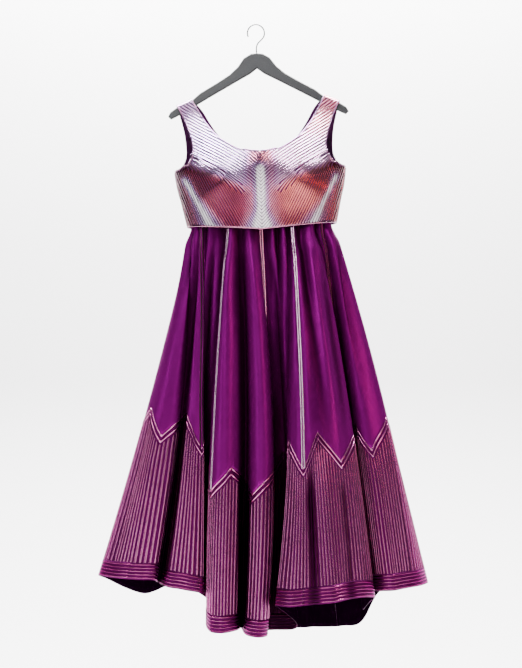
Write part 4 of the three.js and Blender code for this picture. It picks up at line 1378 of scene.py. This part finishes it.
# %% Lining and plain cloth
lining, tree, shader = material("plain_purple", Roughness=0.75, Specular_IOR_Level=0.2)
threads = node(tree, "ShaderNodeGroup", {"Thread depth": 0.6, "Crumple depth": 0.5}, node_tree=weave)
threads.inputs["Crumple size"].default_value = 25.0
tones = ramp(tree, [(0.3, (0.030, 0.0006, 0.030)), (0.7, (0.055, 0.0012, 0.050))])
bump = node(tree, "ShaderNodeBump", {"Strength": 0.4, "Distance": 0.001})
join(
    tree,
    (threads, "Tone", tones, "Fac"), (tones, "Color", shader, "Base Color"),
    (threads, "Height", bump, "Height"), (bump, "Normal", shader, "Normal"),
)
print("lining ready")


# %% Hanger and hook
def grained(name, dark, light, grain, **sockets):
    made, tree, shader = material(name, **sockets)
    spot = node(tree, "ShaderNodeTexCoord")
    noise = node(tree, "ShaderNodeTexNoise", {"Scale": grain, "Detail": 3.0})
    tones = ramp(tree, [(0.35, dark), (0.65, light)])
    bump = node(tree, "ShaderNodeBump", {"Strength": 0.15, "Distance": 0.0005})
    join(
        tree,
        (spot, "Object", noise, "Vector"), (noise, "Fac", tones, "Fac"),
        (tones, "Color", shader, "Base Color"),
        (noise, "Fac", bump, "Height"), (bump, "Normal", shader, "Normal"),
    )
    return made


hanger_gray = grained("hanger_gray", (0.028, 0.031, 0.032), (0.040, 0.044, 0.045), 420, Roughness=0.42)
hook_steel = grained("hook_steel", (0.45, 0.45, 0.46), (0.6, 0.6, 0.61), 300, Roughness=0.25, Metallic=1.0)
print("hanger finishes ready")

# %% [markdown]
# ### The studio's paint
#
# The floor and the wall are matt and nearly white. Their paint is clear from behind, so
# that the dress can be looked at from every side through the wall.

# %% Paint the sweep
studio_pale, tree, shader = material("studio_pale", Roughness=0.95, Specular_IOR_Level=0.1)
shader.inputs["Base Color"].default_value = (0.9, 0.9, 0.9, 1)
facing = node(tree, "ShaderNodeNewGeometry")
clear = node(tree, "ShaderNodeBsdfTransparent")
either = node(tree, "ShaderNodeMixShader")
join(
    tree,
    (facing, "Backfacing", either, "Fac"), (shader, "BSDF", either, 1), (clear, "BSDF", either, 2),
    (either, "Shader", tree.nodes["Material Output"], "Surface"),
)
print("the sweep shows its front only")


# %% Dress every piece
def dress(pieces, finish):
    for piece in pieces:
        piece.data.materials.clear()
        piece.data.materials.append(finish)


dress(satin_gores + tape_cloths + waistbands, satin)
dress(border_cloths + hem_bands, border_satin)
dress(strip_pieces, border_foil)
dress(tape_foils, tape_foil)
dress(choli_foils + bindings, choli_foil)
dress(choli_cloths + choli_linings + loops, lining)
dress([sweep], studio_pale)
dress([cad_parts["hanger_body"]], hanger_gray)
dress([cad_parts["hanger_hook"]], hook_steel)
print("materials:", sorted(m.name for m in bpy.data.materials))

# %% [markdown]
# ### Lamps
#
# Satin and foil show what they reflect, so each lamp is a soft box of a set size. The
# front and top boxes give the broad highlights, the side strips give the silver rims,
# and one lamp lights the wall, so that it stays paler than the dress.

# %% Hang the lamps
def lamp(name, place, target, size, power, color=(1, 1, 1)):
    data = bpy.data.lights.new(name, "AREA")
    data.shape = "RECTANGLE"
    data.size, data.size_y = size
    data.energy = power
    data.color = color
    thing = bpy.data.objects.new(name, data)
    thing.location = place
    thing.rotation_euler = (Vector(target) - Vector(place)).to_track_quat("-Z", "Y").to_euler()
    bpy.context.scene.collection.objects.link(thing)
    return thing


lamp("left_strip", (-2.3, -1.3, -0.5), (0, 0, -0.6), (0.35, 2.2), 16, (0.93, 0.95, 1.0))
lamp("right_strip", (2.2, -1.2, -0.5), (0, 0, -0.6), (0.35, 2.2), 7, (1.0, 0.80, 0.82))
lamp("rose_lamp", (1.5, -0.9, -0.45), (0.15, 0, -0.42), (0.3, 0.4), 4, (1.0, 0.30, 0.42))
lamp("front_box", (-0.5, -3.2, 0.7), (0, 0, -0.6), (0.9, 0.9), 42, (1.0, 0.97, 1.0))
lamp("low_box", (0.2, -2.5, -1.3), (0, 0, -0.45), (1.2, 0.5), 5, (1.0, 0.93, 0.95))
lamp("top_box", (-0.1, -1.6, 1.6), (0, 0, -0.3), (1.4, 0.7), 45, (0.97, 0.97, 1.0))
lamp("wall_lamp", (0, 0.75, 2.0), (0, 1.5, -0.9), (3.4, 0.6), 1100)
world = bpy.data.worlds.new("studio_world")
world.use_nodes = True
world.node_tree.nodes["Background"].inputs["Color"].default_value = (0.9, 0.92, 1.0, 1)
world.node_tree.nodes["Background"].inputs["Strength"].default_value = 0.12
bpy.context.scene.world = world
